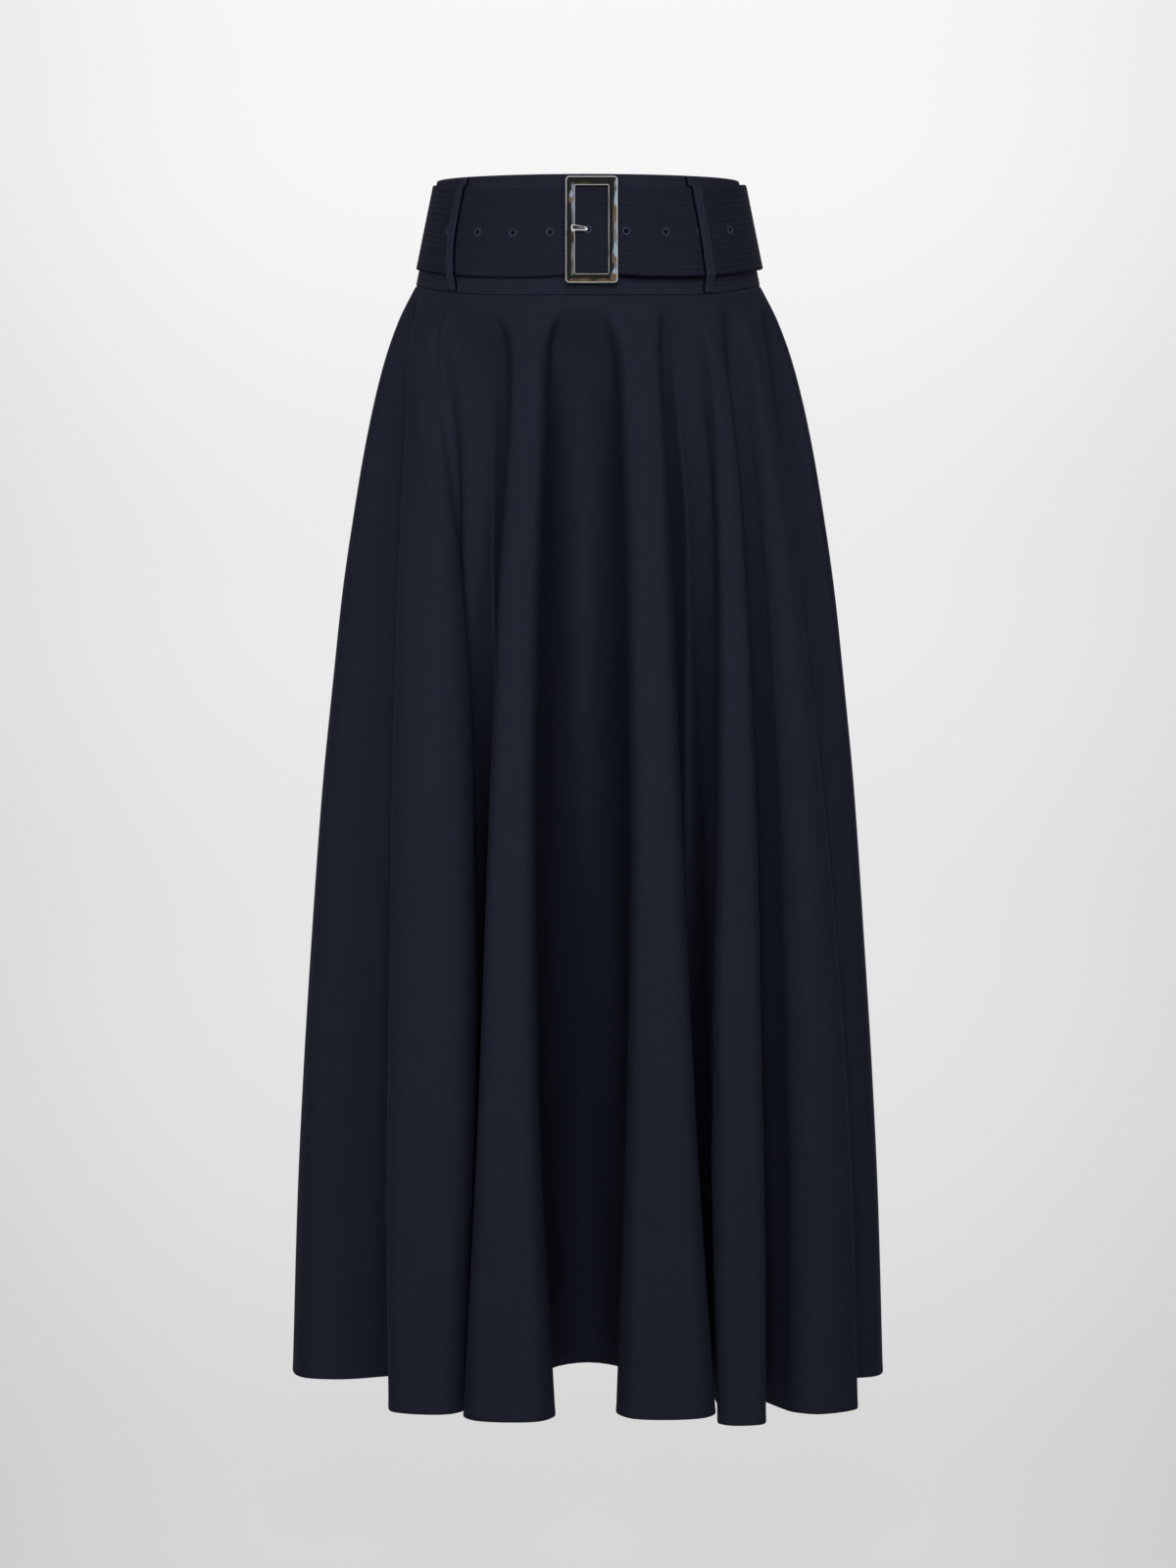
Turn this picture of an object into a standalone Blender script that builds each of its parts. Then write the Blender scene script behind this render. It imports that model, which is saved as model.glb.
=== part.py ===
"""Circle skirt with a shaped waistband, belt loops, a wide belt and its buckle.

Metres, Z up, the front faces -Y, the origin is the middle of the waist.
The cloth is worn and held open at the waist; every piece is its own solid.
"""
import math

import bpy
import numpy as np

# Outline of the skirt, metres: share of the way down, half width, half depth
OUTLINE = (
    (0.000, 0.1405, 0.108), (0.030, 0.1540, 0.119), (0.074, 0.1675, 0.132),
    (0.142, 0.1815, 0.147), (0.204, 0.1910, 0.157), (0.280, 0.2010, 0.168),
    (0.365, 0.2092, 0.179), (0.457, 0.2175, 0.189), (0.600, 0.2270, 0.201),
    (0.728, 0.2342, 0.211), (0.838, 0.2390, 0.219), (1.000, 0.2434, 0.228),
)
LEVELS = (0.0, 0.142, 0.457, 0.728, 1.0)    # seam, hip, knee, calf and hem

# One row per fold, going round from the left side over the front: where its
# crest stands at seam, hip, knee, calf and hem (degrees from the front), half
# its width from the hip down (mm), the way it points (degrees), depth of the
# valley after it and half that valley's width (mm), how far the fold's left and
# right edges overhang (mm) and how much lower its hem hangs (mm).
FOLDS = (
    # name       seam    hip   knee   calf    hem   w1  w2  w3  w4  aim valley m  hookl hookr drop
    ("left",     -88.0, -88.0, -88.0, -88.0, -88.0, 24, 34, 36, 40, -82, 170, 10,  2,  2,  8),
    ("f2",       -64.0, -47.5, -37.2, -34.1, -33.4, 26, 34, 36, 31, -14, 160,  5,  2,  9, 10),
    ("f3",       -18.0, -16.2, -16.3, -15.9, -15.4, 15, 18, 24, 36,  -5, 250, 30, 16,  2, 11),
    ("f4",        14.9,  14.6,  14.6,  14.6,  15.2, 18, 20, 27, 39,   4, 150,  6,  2, 15,  9),
    ("f5",        41.0,  37.5,  33.6,  31.2,  31.0, 10, 16, 20, 18,  10, 130,  7,  3,  2, 18),
    ("f6",        61.0,  55.2,  56.4,  57.0,  56.3, 12, 20, 26, 30,  36, 120,  8,  2,  4, 20),
    ("right",     89.0,  88.0,  88.0,  88.0,  88.0, 20, 26, 32, 36,  88, 140,  9,  2,  2,  7),
    ("b1",       118.0, 118.0, 118.0, 118.0, 118.0, 18, 22, 28, 33, 128, 150,  9,  2,  6,  8),
    ("b2",       143.0, 143.0, 143.0, 143.0, 143.0, 16, 20, 26, 31, 156, 170,  9,  2,  2,  6),
    ("b3",       167.0, 167.0, 167.0, 167.0, 167.0, 16, 20, 25, 33, 173, 150, 15,  2,  2,  4),
    ("b4",       192.0, 192.0, 192.0, 192.0, 192.0, 16, 20, 25, 33, 186, 170,  9,  6,  2,  5),
    ("b5",       216.0, 216.0, 216.0, 216.0, 216.0, 17, 20, 27, 31, 203, 160,  9,  2,  2,  9),
    ("b6",       243.0, 243.0, 243.0, 243.0, 243.0, 18, 22, 28, 33, 233, 150,  9,  2,  2,  7),
)
RIGHT_FOLD, BACK_FOLD = 6, 9        # the side seam and the back seam lie on these
VALLEY_GROWTH = (                   # share of the way down, share of the valley's depth
    (0.0, 0.0), (0.010, 0.006), (0.02, 0.03), (0.035, 0.07), (0.06, 0.125), (0.1, 0.185),
    (0.142, 0.235), (0.28, 0.36), (0.457, 0.52), (0.728, 0.77), (1.0, 1.0),
)
SHALLOW, DEEP = 0.12, 0.67          # valley depth against the gap of its crests
STEP_RIGHT, STEP_LEFT = 0.005, 0.008    # width of a shallow crest's step down
SEAM_NARROWING = 0.03               # share of the way down over which valleys open
SEAM_Z, SEAM_DIP, HEM_Z = -0.0430, 0.0120, -0.9276
VALLEY_HEM_LIFT = 0.004

SEAM_GAP = 0.00016                  # half the gap between neighbouring pieces
CLOTH = 0.0016                      # wall of the skirt
ROWS = (0.0, 0.013, 0.026, 0.042, 0.068, 0.11, 0.18, 0.27, 0.38, 0.49, 0.61, 0.74, 0.87, 1.0)
STEPS = (1, 2, 2, 2, 2, 1, 1, 2, 2, 1)  # columns in each span of one fold
TIP, FLOOR = 3, 8                   # spans before a fold's crest, and before its valley's floor

# Waistband
BAND = 0.0024                       # its wall
BAND_TOP_Z = 0.0418
BAND_TOP = (0.1232, 0.0900)         # half width and half depth of its top edge
BAND_ROWS = (0.0, 0.33, 0.67, 1.0)
BAND_MEAN_R = 0.125

# Belt
BELT = 0.0022                       # its thickness
BELT_LIFT = 0.0004                  # gap to the waistband, and between its two turns
BELT_Z = (0.0380, -0.0300)          # its edges at the sides and behind
BELT_DIP = (0.0082, 0.0112)         # how much lower they lie in front
SQUEEZE = (0.0003, 0.0014)          # how much narrower it is in the buckle, top and foot
SQUEEZE_X = (0.018, 0.045)
OVER_BAR = 0.0067                   # lift of its inner face over the centre bar
RISE_X, FALL_X = (-0.024, 0.0), (0.007, 0.0225)     # where it climbs and comes down
SECOND_TURN = BELT + 2 * BELT_LIFT  # lift where it lies over itself
FRONT_SPAN = (-0.040, 0.036)        # x of the part that passes the buckle
BELT_COLUMNS = (92, 27, 34)         # round the back, past the buckle, over itself
TAIL_END, TAIL_ROUND = 108.0, 9.0   # degrees from the front of its tip, and of the tip's round
TAIL_CORNER = 0.010
CURL_HALF = 0.0352                  # half width of its fixed end, turned round the bar
CURL = 0.0010                       # thickness there
EYELETS = (-110.9, -87.0, -59.0, -29.9, -0.3, 29.6, 60.1, 87.2, 111.0)   # mm from the front
EYELET_R = 0.00175
MIDDLE_EYELET = 4

# Buckle, in its own plane: x to the right, w up, n out from the waistband
BUCKLE_X, BUCKLE_Z = 0.0029, -0.0050
BUCKLE_HALF = (0.0208, 0.0435)
BUCKLE_BAR = 0.0077
FRAME_BACK, FRAME_FRONT = 0.0068, 0.0096
PIN_X, PIN_N = (0.0020, 0.0010), 0.0039     # half size and height of the centre bar
PIN_REACH, PIN_POST = 0.0395, 0.0036        # half length; depth of the posts at its ends
PLAY = 0.0003                               # between the bar and what turns on it
EYE, EYE_HALF_W = 0.0011, 0.0016            # wall and half width of the prong's eye
SLOT_X, SLOT_W, SLOT_N = (-0.0070, 0.0072), 0.0024, (0.0001, 0.0064)
PRONG_W, PRONG_SLOPE = -0.0001, 0.09        # it lies a little higher at its tip
PRONG = (
    # x, n, half width, half thickness
    (-0.0001, 0.0058, 0.0013, 0.0008), (-0.0003, 0.0072, 0.0013, 0.0008),
    (-0.0006, 0.0090, 0.0013, 0.0008), (-0.0012, 0.0102, 0.0015, 0.0009),
    (-0.0026, 0.0108, 0.0018, 0.0009), (-0.0050, 0.0110, 0.0020, 0.0010),
    (-0.0090, 0.0111, 0.0024, 0.0010), (-0.0122, 0.0110, 0.0028, 0.0010),
    (-0.0131, 0.0109, 0.0025, 0.0006),
)

# Belt loops: name, degrees from the front at top, middle and foot, outside face they cross
LOOPS = (
    ("loop_front_left", (-52.9, -54.0, -50.8), BELT_LIFT + BELT),
    ("loop_front_right", (41.3, 42.9, 43.5), SECOND_TURN + BELT),
    ("loop_back_right", (130.6, 131.2, 131.0), BELT_LIFT + BELT),
    ("loop_back_left", (-131.3, -131.0, -130.4), BELT_LIFT + BELT),
)
LOOP_WIDTH, LOOP, LOOP_R = 0.0088, 0.0018, 0.128
LOOP_ROUND = 0.0004

COLOURS = {                         # colour, roughness, metal
    "cloth": ((0.0157, 0.0171, 0.0281), 0.88, 0.0),
    "band": ((0.0157, 0.0171, 0.0281), 0.85, 0.0),
    "metal": ((0.62, 0.62, 0.63), 0.16, 1.0),
}

for old in list(bpy.data.objects):
    bpy.data.objects.remove(old, do_unlink=True)


# ---------------------------------------------------------------- curves
def smooth(x, xs, ys):
    """Monotone cubic through the points of a short table."""
    xs, ys = np.asarray(xs, float), np.asarray(ys, float)
    h, d = np.diff(xs), np.diff(ys) / np.diff(xs)
    m = np.zeros_like(ys)
    m[0], m[-1] = d[0], d[-1]
    for i in range(1, len(xs) - 1):
        if d[i - 1] * d[i] > 0:
            w1, w2 = 2 * h[i] + h[i - 1], h[i] + 2 * h[i - 1]
            m[i] = (w1 + w2) / (w1 / d[i - 1] + w2 / d[i])
    i = int(np.clip(np.searchsorted(xs, x) - 1, 0, len(xs) - 2))
    t = min(max((x - xs[i]) / h[i], 0.0), 1.0)
    return float(
        ys[i] * (1 + 2 * t) * (1 - t) ** 2 + ys[i + 1] * t * t * (3 - 2 * t)
        + h[i] * m[i] * t * (1 - t) ** 2 + h[i] * m[i + 1] * t * t * (t - 1)
    )


def ease(x, x0, x1):
    """0 before x0, 1 after x1, soft between them."""
    t = min(max((x - x0) / (x1 - x0), 0.0), 1.0)
    return t * t * (3 - 2 * t)


def unit(deg):
    """Direction (x, d) at an angle from the front."""
    return np.array([math.sin(math.radians(deg)), math.cos(math.radians(deg))])


def spline(points, steps):
    """Closed centripetal curve through the points, with its steps in each span."""
    n = len(points)
    out = []
    for i in range(n):
        p = [points[(i + j) % n] for j in (-1, 0, 1, 2)]
        t = [0.0]
        for j in range(3):
            t.append(t[-1] + max(np.linalg.norm(p[j + 1][:2] - p[j][:2]), 1e-6) ** 0.5)
        k = steps[i % len(steps)]
        for s in range(k):
            x = t[1] + (t[2] - t[1]) * s / k
            a = [
                ((t[j + 1] - x) * p[j] + (x - t[j]) * p[j + 1]) / (t[j + 1] - t[j])
                for j in range(3)
            ]
            b = [
                ((t[j + 2] - x) * a[j] + (x - t[j]) * a[j + 1]) / (t[j + 2] - t[j])
                for j in range(2)
            ]
            out.append(((t[2] - x) * b[0] + (x - t[1]) * b[1]) / (t[2] - t[1]))
    return np.array(out)


# ---------------------------------------------------------------- the skirt's form
def outline(v):
    """Half width and half depth of the skirt at share v of the way down."""
    shares, widths, depths = zip(*OUTLINE)
    return smooth(v, shares, widths), smooth(v, shares, depths)


def on_outline(v, deg):
    """Point and outward direction on the outline (x, d)."""
    a, b = outline(v)
    s, c = unit(deg)
    n = np.array([s / a, c / b])
    return np.array([a * s, b * c]), n / np.linalg.norm(n)


def section(v):
    """Guide points (x, d, drop) of the cloth's section at share v of the way down.

    A shallow fold is a flat crest with a step down to a flat valley; a deep one
    is a round crest with straight sides, a neck and a round valley. Each is a
    blend of the two. Ten points to a fold: neck, edge and shoulder of its left
    side, its tip, the same on its right, and three for the valley after it."""
    n = len(FOLDS)
    growth = smooth(v, *zip(*VALLEY_GROWTH))
    turn = [smooth(v, LEVELS, row[1:6]) for row in FOLDS]
    turn.append(turn[0] + 360)
    wide = [smooth(v, LEVELS, (0.8 * row[6],) + tuple(row[6:10])) / 1000 for row in FOLDS]
    tips = [on_outline(v, t) for t in turn]
    gaps = [np.linalg.norm(tips[i + 1][0] - tips[i][0]) for i in range(n)]
    depths = [row[11] / 1000 * growth for row in FOLDS]
    deep = [ease(depths[i] / gaps[i], SHALLOW, DEEP) for i in range(n)]
    near_seam = math.exp(-(v / SEAM_NARROWING) ** 2)

    def shallow(i, share, part):
        """Point in the gap after fold i, part of the valley's depth in."""
        p, nrm = on_outline(v, turn[i] + (turn[i + 1] - turn[i]) * share)
        return p - nrm * depths[i] * part

    def step_shares(i, j, sign):
        """Shares of gap j where fold i's flat crest, its edge and its step end."""
        gap = gaps[j]
        half = wide[i] + max(0.0, 0.34 * gap - wide[i]) * 0.7 * near_seam
        step = STEP_RIGHT if sign > 0 else STEP_LEFT
        edge = min(half / gap, 0.30)
        foot = min(edge + step / gap, 0.37)
        return min(0.72 * half / gap, 0.22), edge, foot, min(foot + 0.012 / gap, 0.44)

    lobes, pts = [], []
    for i, row in enumerate(FOLDS):
        tip, nrm = tips[i]
        k = 0.5 * (deep[i - 1] + deep[i])
        axis = nrm * (1 - k) + unit(row[10]) * k
        axis /= np.linalg.norm(axis)
        across = np.array([axis[1], -axis[0]])
        sides = []
        for j, sign in (((i - 1) % n, -1), (i, 1)):
            half, back = wide[i], min(0.8 * wide[i], 0.42 * depths[j])
            neck = 0.55 * min(half, 0.3 * depths[j])
            hook = row[13 if sign < 0 else 14] / 1000 * v * v
            bold = (
                tip - axis * 0.22 * back + across * sign * 0.72 * half,
                tip - axis * back + across * sign * half,
                tip - axis * (back + neck) + across * sign * (half - hook),
            )
            shares = step_shares(i, j, sign)
            soft = [
                shallow(j, share if sign > 0 else 1 - share, part)
                for share, part in zip(shares, (0.03, 0.2, 0.8))
            ]
            mixed = [b * deep[j] + a * (1 - deep[j]) for a, b in zip(soft, bold)]
            sides.append(mixed + [back, bold[1]])
        lobes.append((tip, sides, axis))
    for i, row in enumerate(FOLDS):
        after = (i + 1) % n
        tip, (left, right), axis = lobes[i]
        drop = row[15] / 1000
        crest = (left[2], left[1], left[0], tip, right[0], right[1], right[2])
        pts += [(*p, drop) for p in crest]
        _, (left2, _), axis2 = lobes[after]
        way = axis + axis2
        way /= np.linalg.norm(way)
        across = np.array([way[1], -way[0]])
        reach = depths[i] - 0.5 * (right[3] + left2[3])
        floor = 0.5 * (right[4] + left2[4]) - way * reach
        m = row[12] / 1000 * (0.6 + 0.4 * v)
        g = min(m, 0.22 * depths[i])
        bold = (floor + way * g - across * m, floor, floor + way * g + across * m)
        s0, s1 = step_shares(i, i, 1)[3], 1 - step_shares(after, i, -1)[3]
        places = ((s0, 0.97), (0.5 * (s0 + s1), 1.0), (s1, 0.97))
        drop = 0.5 * (row[15] + FOLDS[after][15]) / 1000 - VALLEY_HEM_LIFT
        for b, place in zip(bold, places):
            pts.append((*(b * deep[i] + shallow(i, *place) * (1 - deep[i])), drop))
    return np.array(pts)


def seam_height(front):
    """Height of the waist seam; front is 1 at the middle of the front, 0 at the sides."""
    return SEAM_Z - SEAM_DIP * 0.5 * (1 - np.cos(np.pi * np.clip(front, 0, 1)))


def cloth_ring(v):
    """Outside of the skirt (X, Y, Z), round at share v of the way down."""
    a, b = outline(v)
    guide = section(max(v, 1e-4))
    if v == 0:
        turn = np.unwrap(np.arctan2(guide[:, 0] / a, guide[:, 1] / b))
        guide = np.stack([a * np.sin(turn), b * np.cos(turn), guide[:, 2]], 1)
    c = spline(guide, STEPS)
    z_seam = seam_height(c[:, 1] / b) - SEAM_GAP
    z = z_seam + (HEM_Z - c[:, 2] - z_seam) * v
    return np.stack([c[:, 0], -c[:, 1], z], 1)


def inward(ring, distance):
    """The ring moved inwards in its own plane."""
    along = np.roll(ring, -1, 0) - np.roll(ring, 1, 0)
    along = along[:, :2] / np.linalg.norm(along[:, :2], axis=1, keepdims=True)
    out = ring.copy()
    out[:, 0] -= along[:, 1] * distance
    out[:, 1] += along[:, 0] * distance
    return out


# ---------------------------------------------------------------- meshes
def material(kind):
    colour, rough, metal = COLOURS[kind]
    mat = bpy.data.materials.new(kind)
    mat.use_nodes = True
    shader = mat.node_tree.nodes["Principled BSDF"]
    shader.inputs["Base Color"].default_value = (*colour, 1)
    shader.inputs["Roughness"].default_value = rough
    shader.inputs["Metallic"].default_value = metal
    return mat


def add_mesh(name, verts, faces, kind):
    """A mesh object whose faces look outward."""
    verts = np.asarray(verts, float)
    volume = 0.0
    for f in faces:
        for k in range(1, len(f) - 1):
            volume += np.dot(verts[f[0]], np.cross(verts[f[k]], verts[f[k + 1]]))
    if volume < 0:
        faces = [tuple(reversed(f)) for f in faces]
    mesh = bpy.data.meshes.new(name)
    mesh.from_pydata([tuple(v) for v in verts], [], faces)
    mesh.update()
    obj = bpy.data.objects.new(name, mesh)
    bpy.context.scene.collection.objects.link(obj)
    mesh.materials.append(material(kind))
    return obj


def add_slab(name, outer, inner, kind):
    """A closed sheet between two grids of points (rows x columns x 3)."""
    outer, inner = np.asarray(outer), np.asarray(inner)
    rows, cols = outer.shape[:2]
    verts = np.concatenate([outer.reshape(-1, 3), inner.reshape(-1, 3)])
    back = rows * cols
    faces = []
    for r in range(rows - 1):
        for c in range(cols - 1):
            a = r * cols + c
            faces.append((a, a + 1, a + cols + 1, a + cols))
            faces.append((back + a, back + a + cols, back + a + cols + 1, back + a + 1))
    for c in range(cols - 1):
        a, b = c, (rows - 1) * cols + c
        faces.append((a, back + a, back + a + 1, a + 1))
        faces.append((b, b + 1, back + b + 1, back + b))
    for r in range(rows - 1):
        a, b = r * cols, r * cols + cols - 1
        faces.append((a, a + cols, back + a + cols, back + a))
        faces.append((b, back + b, back + b + cols, b + cols))
    return add_mesh(name, verts, faces, kind)


def loft(rings):
    """Closed skin over rings of points; returns vertices and faces."""
    sides = len(rings[0])
    verts = [p for ring in rings for p in ring]
    faces = []
    for k in range(len(rings) - 1):
        for j in range(sides):
            a, b = k * sides + j, k * sides + (j + 1) % sides
            faces.append((a, b, b + sides, a + sides))
    last = (len(rings) - 1) * sides
    faces.append(tuple(range(sides - 1, -1, -1)))
    faces.append(tuple(range(last, last + sides)))
    return verts, faces


def cutter(name, verts, faces):
    obj = add_mesh(name, verts, faces, "metal")
    obj.hide_render = True
    obj.display_type = "WIRE"
    return obj


def boolean(obj, other, operation):
    mod = obj.modifiers.new(operation.lower(), "BOOLEAN")
    mod.operation = operation
    mod.object = other
    mod.solver = "EXACT"


# ---------------------------------------------------------------- skirt panels
def panel(rings, first, last):
    """Columns first..last of closed rings, their ends drawn in by the seam gap."""
    n = rings.shape[1]
    grid = rings[:, [k % n for k in range(first, last + 1)]].copy()
    for edge, nxt in ((0, 1), (-1, -2)):
        way = grid[:, nxt] - grid[:, edge]
        grid[:, edge] += way / np.linalg.norm(way, axis=1, keepdims=True) * SEAM_GAP
    return grid


outside = np.array([cloth_ring(v) for v in ROWS])
inside = np.array([inward(ring, CLOTH) for ring in outside])
per_fold = sum(STEPS)
left_seam = sum(STEPS[:TIP])
right_seam = RIGHT_FOLD * per_fold + left_seam
back_seam = BACK_FOLD * per_fold + sum(STEPS[:FLOOR])
for name, first, last in (
    ("skirt_front", left_seam, right_seam),
    ("skirt_back_right", right_seam, back_seam),
    ("skirt_back_left", back_seam, left_seam + len(FOLDS) * per_fold),
):
    add_slab(name, panel(outside, first, last), panel(inside, first, last), "cloth")

# ---------------------------------------------------------------- waistband
LEAN = math.atan2(OUTLINE[0][2] - BAND_TOP[1], BAND_TOP_Z - (SEAM_Z - SEAM_DIP))


def on_band(deg, z, lift, lean=LEAN):
    """Point at a height on the waistband, lifted squarely off its outside."""
    s, c = unit(deg)
    f = (BAND_TOP_Z - z) / (BAND_TOP_Z - float(seam_height(c)))
    a = BAND_TOP[0] + (OUTLINE[0][1] - BAND_TOP[0]) * f
    b = BAND_TOP[1] + (OUTLINE[0][2] - BAND_TOP[1]) * f
    n = np.array([s / a, c / b])
    n *= lift * math.cos(lean) / np.linalg.norm(n)
    return np.array([a * s + n[0], -(b * c + n[1]), z + lift * math.sin(lean)])


def band_grid(first, last, columns, lift):
    """Rows of points over a part of the waistband, level at each height."""
    grid = []
    for f in BAND_ROWS:
        row = []
        for deg in np.linspace(first, last, columns):
            low = float(seam_height(unit(deg)[1])) + SEAM_GAP
            row.append(on_band(deg, BAND_TOP_Z + (low - BAND_TOP_Z) * f, lift, 0.0))
        grid.append(row)
    return np.array(grid)


gap_deg = math.degrees(SEAM_GAP / BAND_MEAN_R)
for name, first, last, columns in (
    ("waistband_front", -90, 90, 37),
    ("waistband_back_right", 90, 180, 19),
    ("waistband_back_left", 180, 270, 19),
):
    span = (first + gap_deg, last - gap_deg, columns)
    add_slab(name, band_grid(*span, 0.0), band_grid(*span, -BAND), "band")


# ---------------------------------------------------------------- belt
def belt_edges(deg, x=None):
    """Heights of the belt's edges; where it passes x it is squeezed in the buckle."""
    front = 0.5 * (1 - math.cos(math.pi * max(0.0, unit(deg)[1])))
    squeeze = 0.0 if x is None else 1 - ease(abs(x - BUCKLE_X), *SQUEEZE_X)
    top = BELT_Z[0] - BELT_DIP[0] * front - SQUEEZE[0] * squeeze
    return top, BELT_Z[1] - BELT_DIP[1] * front + SQUEEZE[1] * squeeze


def front_deg(x):
    """Degrees from the front at which the belt passes x."""
    low, high = -89.0, 89.0
    for _ in range(40):
        mid = 0.5 * (low + high)
        if on_band(mid, BUCKLE_Z, 0.0)[0] < x:
            low = mid
        else:
            high = mid
    return low


def belt_path():
    """Stations along the belt: degrees, x past the buckle or None, lift of its inner face."""
    round_back, past_buckle, over_itself = BELT_COLUMNS
    path = []
    for deg in np.linspace(front_deg(BUCKLE_X + 0.012), 336, round_back):
        path.append((deg, None, BELT_LIFT))
    for x in np.linspace(*FRONT_SPAN, past_buckle):
        lift = BELT_LIFT + (OVER_BAR - BELT_LIFT) * ease(x, *RISE_X)
        if x > FALL_X[0]:
            lift -= (OVER_BAR - SECOND_TURN) * ease(x, *FALL_X)
        path.append((360 + front_deg(x), x, lift))
    for deg in np.linspace(front_deg(FRONT_SPAN[1]), TAIL_END, over_itself)[1:]:
        path.append((360 + deg, None, SECOND_TURN))
    return path


def pin_curl():
    """The belt's fixed end turned round the centre bar: centre line (x, n), thickness."""
    r = PIN_X[1] + PLAY + CURL / 2
    left = BUCKLE_X - 0.8 * PIN_X[0]
    pts = [(BUCKLE_X + dx, PIN_N + r, CURL) for dx in (0.0034, 0.0015)]
    for k in range(7):
        t = math.pi * k / 6
        pts.append((left - math.sin(t) * r, PIN_N + math.cos(t) * r, CURL))
    pts.append((BUCKLE_X + 0.0030, PIN_N - r - 0.0001, 0.0011))
    pts.append((BUCKLE_X + 0.0070, 0.0017, 0.0015))
    return pts


MIDDLE = on_band(front_deg(BUCKLE_X), BUCKLE_Z, 0.0)


def at_buckle(x, w, n):
    """A point from the buckle's own plane."""
    return np.array([
        x,
        MIDDLE[1] + w * math.sin(LEAN) - n * math.cos(LEAN),
        MIDDLE[2] + w * math.cos(LEAN) + n * math.sin(LEAN),
    ])


def along(line, k):
    """Direction of a line of (x, n) points at point k, and the way square to it."""
    a, b = line[max(k - 1, 0)], line[min(k + 1, len(line) - 1)]
    way = np.array([b[0] - a[0], b[1] - a[1]])
    way /= np.linalg.norm(way)
    return way, np.array([-way[1], way[0]])


def belt_grids():
    """Outside and inside of the belt: two rows of points, top edge and lower edge."""
    outer, inner = [], []
    curl = pin_curl()
    for k, (x, n, thick) in enumerate(curl):
        side = along(curl, k)[1] * thick / 2
        outer.append([at_buckle(x + side[0], w, n + side[1]) for w in (CURL_HALF, -CURL_HALF)])
        inner.append([at_buckle(x - side[0], w, n - side[1]) for w in (CURL_HALF, -CURL_HALF)])
    for deg, x, lift in belt_path():
        top, low = belt_edges(deg, x)
        past = (deg - 360 - (TAIL_END - TAIL_ROUND)) / TAIL_ROUND
        if past > 0:
            corner = TAIL_CORNER * (1 - math.sqrt(max(0.0, 1 - past * past)))
            top, low = top - corner, low + corner
        outer.append([on_band(deg, z, lift + BELT) for z in (top, low)])
        inner.append([on_band(deg, z, lift) for z in (top, low)])
    return np.array(outer).transpose(1, 0, 2), np.array(inner).transpose(1, 0, 2)


def rod(start, end, radius, sides):
    """Round bar between two points."""
    way = (end - start) / np.linalg.norm(end - start)
    a = np.cross([0.0, 0.0, 1.0], way)
    a /= np.linalg.norm(a)
    b = np.cross(way, a)
    turns = [2 * math.pi * (j + 0.5) / sides for j in range(sides)]
    return loft([
        [p + radius * (math.cos(t) * a + math.sin(t) * b) for t in turns] for p in (start, end)
    ])


def block(x, w, n):
    """Box in the buckle's plane between pairs of x, w and n."""
    corners = ((0, 0), (1, 0), (1, 1), (0, 1))
    return loft([[at_buckle(x[i], w[j], n[k]) for i, j in corners] for k in (0, 1)])


belt = add_slab("belt", *belt_grids(), "band")
for k, mm in enumerate(EYELETS):
    x = mm / 1000
    deg = front_deg(x)
    lift = BELT_LIFT if mm < 0 else SECOND_TURN
    if k == MIDDLE_EYELET:
        lift = OVER_BAR
    z = 0.5 * sum(belt_edges(deg, x))
    hole = rod(on_band(deg, z, lift - 0.0002), on_band(deg, z, lift + BELT + 0.003), EYELET_R, 12)
    boolean(belt, cutter("cut_eyelet_%d" % k, *hole), "DIFFERENCE")
slot = block([BUCKLE_X + dx for dx in SLOT_X], (-SLOT_W, SLOT_W), SLOT_N)
boolean(belt, cutter("cut_prong_slot", *slot), "DIFFERENCE")


# ---------------------------------------------------------------- buckle
def rounded(half_x, half_w, radius):
    """Outline of a rectangle with round corners, anticlockwise."""
    pts = []
    for cx, cw, t0 in ((1, 1, 0), (-1, 1, 90), (-1, -1, 180), (1, -1, 270)):
        for k in range(5):
            t = math.radians(t0 + 22.5 * k)
            x = cx * (half_x - radius) + radius * math.cos(t)
            pts.append((x, cw * (half_w - radius) + radius * math.sin(t)))
    return pts


FRAME_SECTION = (
    # step in from the outer edge, n, corner radius
    (0.0, FRAME_BACK + 0.0004, 0.0032), (0.0, FRAME_FRONT - 0.0007, 0.0032),
    (0.0007, FRAME_FRONT, 0.0028), (BUCKLE_BAR - 0.0007, FRAME_FRONT, 0.0013),
    (BUCKLE_BAR, FRAME_FRONT - 0.0007, 0.0009), (BUCKLE_BAR, FRAME_BACK + 0.0004, 0.0009),
    (BUCKLE_BAR - 0.0004, FRAME_BACK, 0.0011), (0.0004, FRAME_BACK, 0.0030),
)
verts, faces = [], []
for step, n, radius in FRAME_SECTION:
    shape = rounded(BUCKLE_HALF[0] - step, BUCKLE_HALF[1] - step, radius)
    verts += [at_buckle(BUCKLE_X + x, w, n) for x, w in shape]
count = len(shape)
for k in range(len(FRAME_SECTION)):
    for j in range(count):
        a, b = k * count, (k + 1) % len(FRAME_SECTION) * count
        faces.append((a + j, a + (j + 1) % count, b + (j + 1) % count, b + j))
buckle = add_mesh("buckle", verts, faces, "metal")
pin = (BUCKLE_X - PIN_X[0], BUCKLE_X + PIN_X[0])
post_n = (PIN_N, FRAME_BACK + 0.0008)
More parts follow.
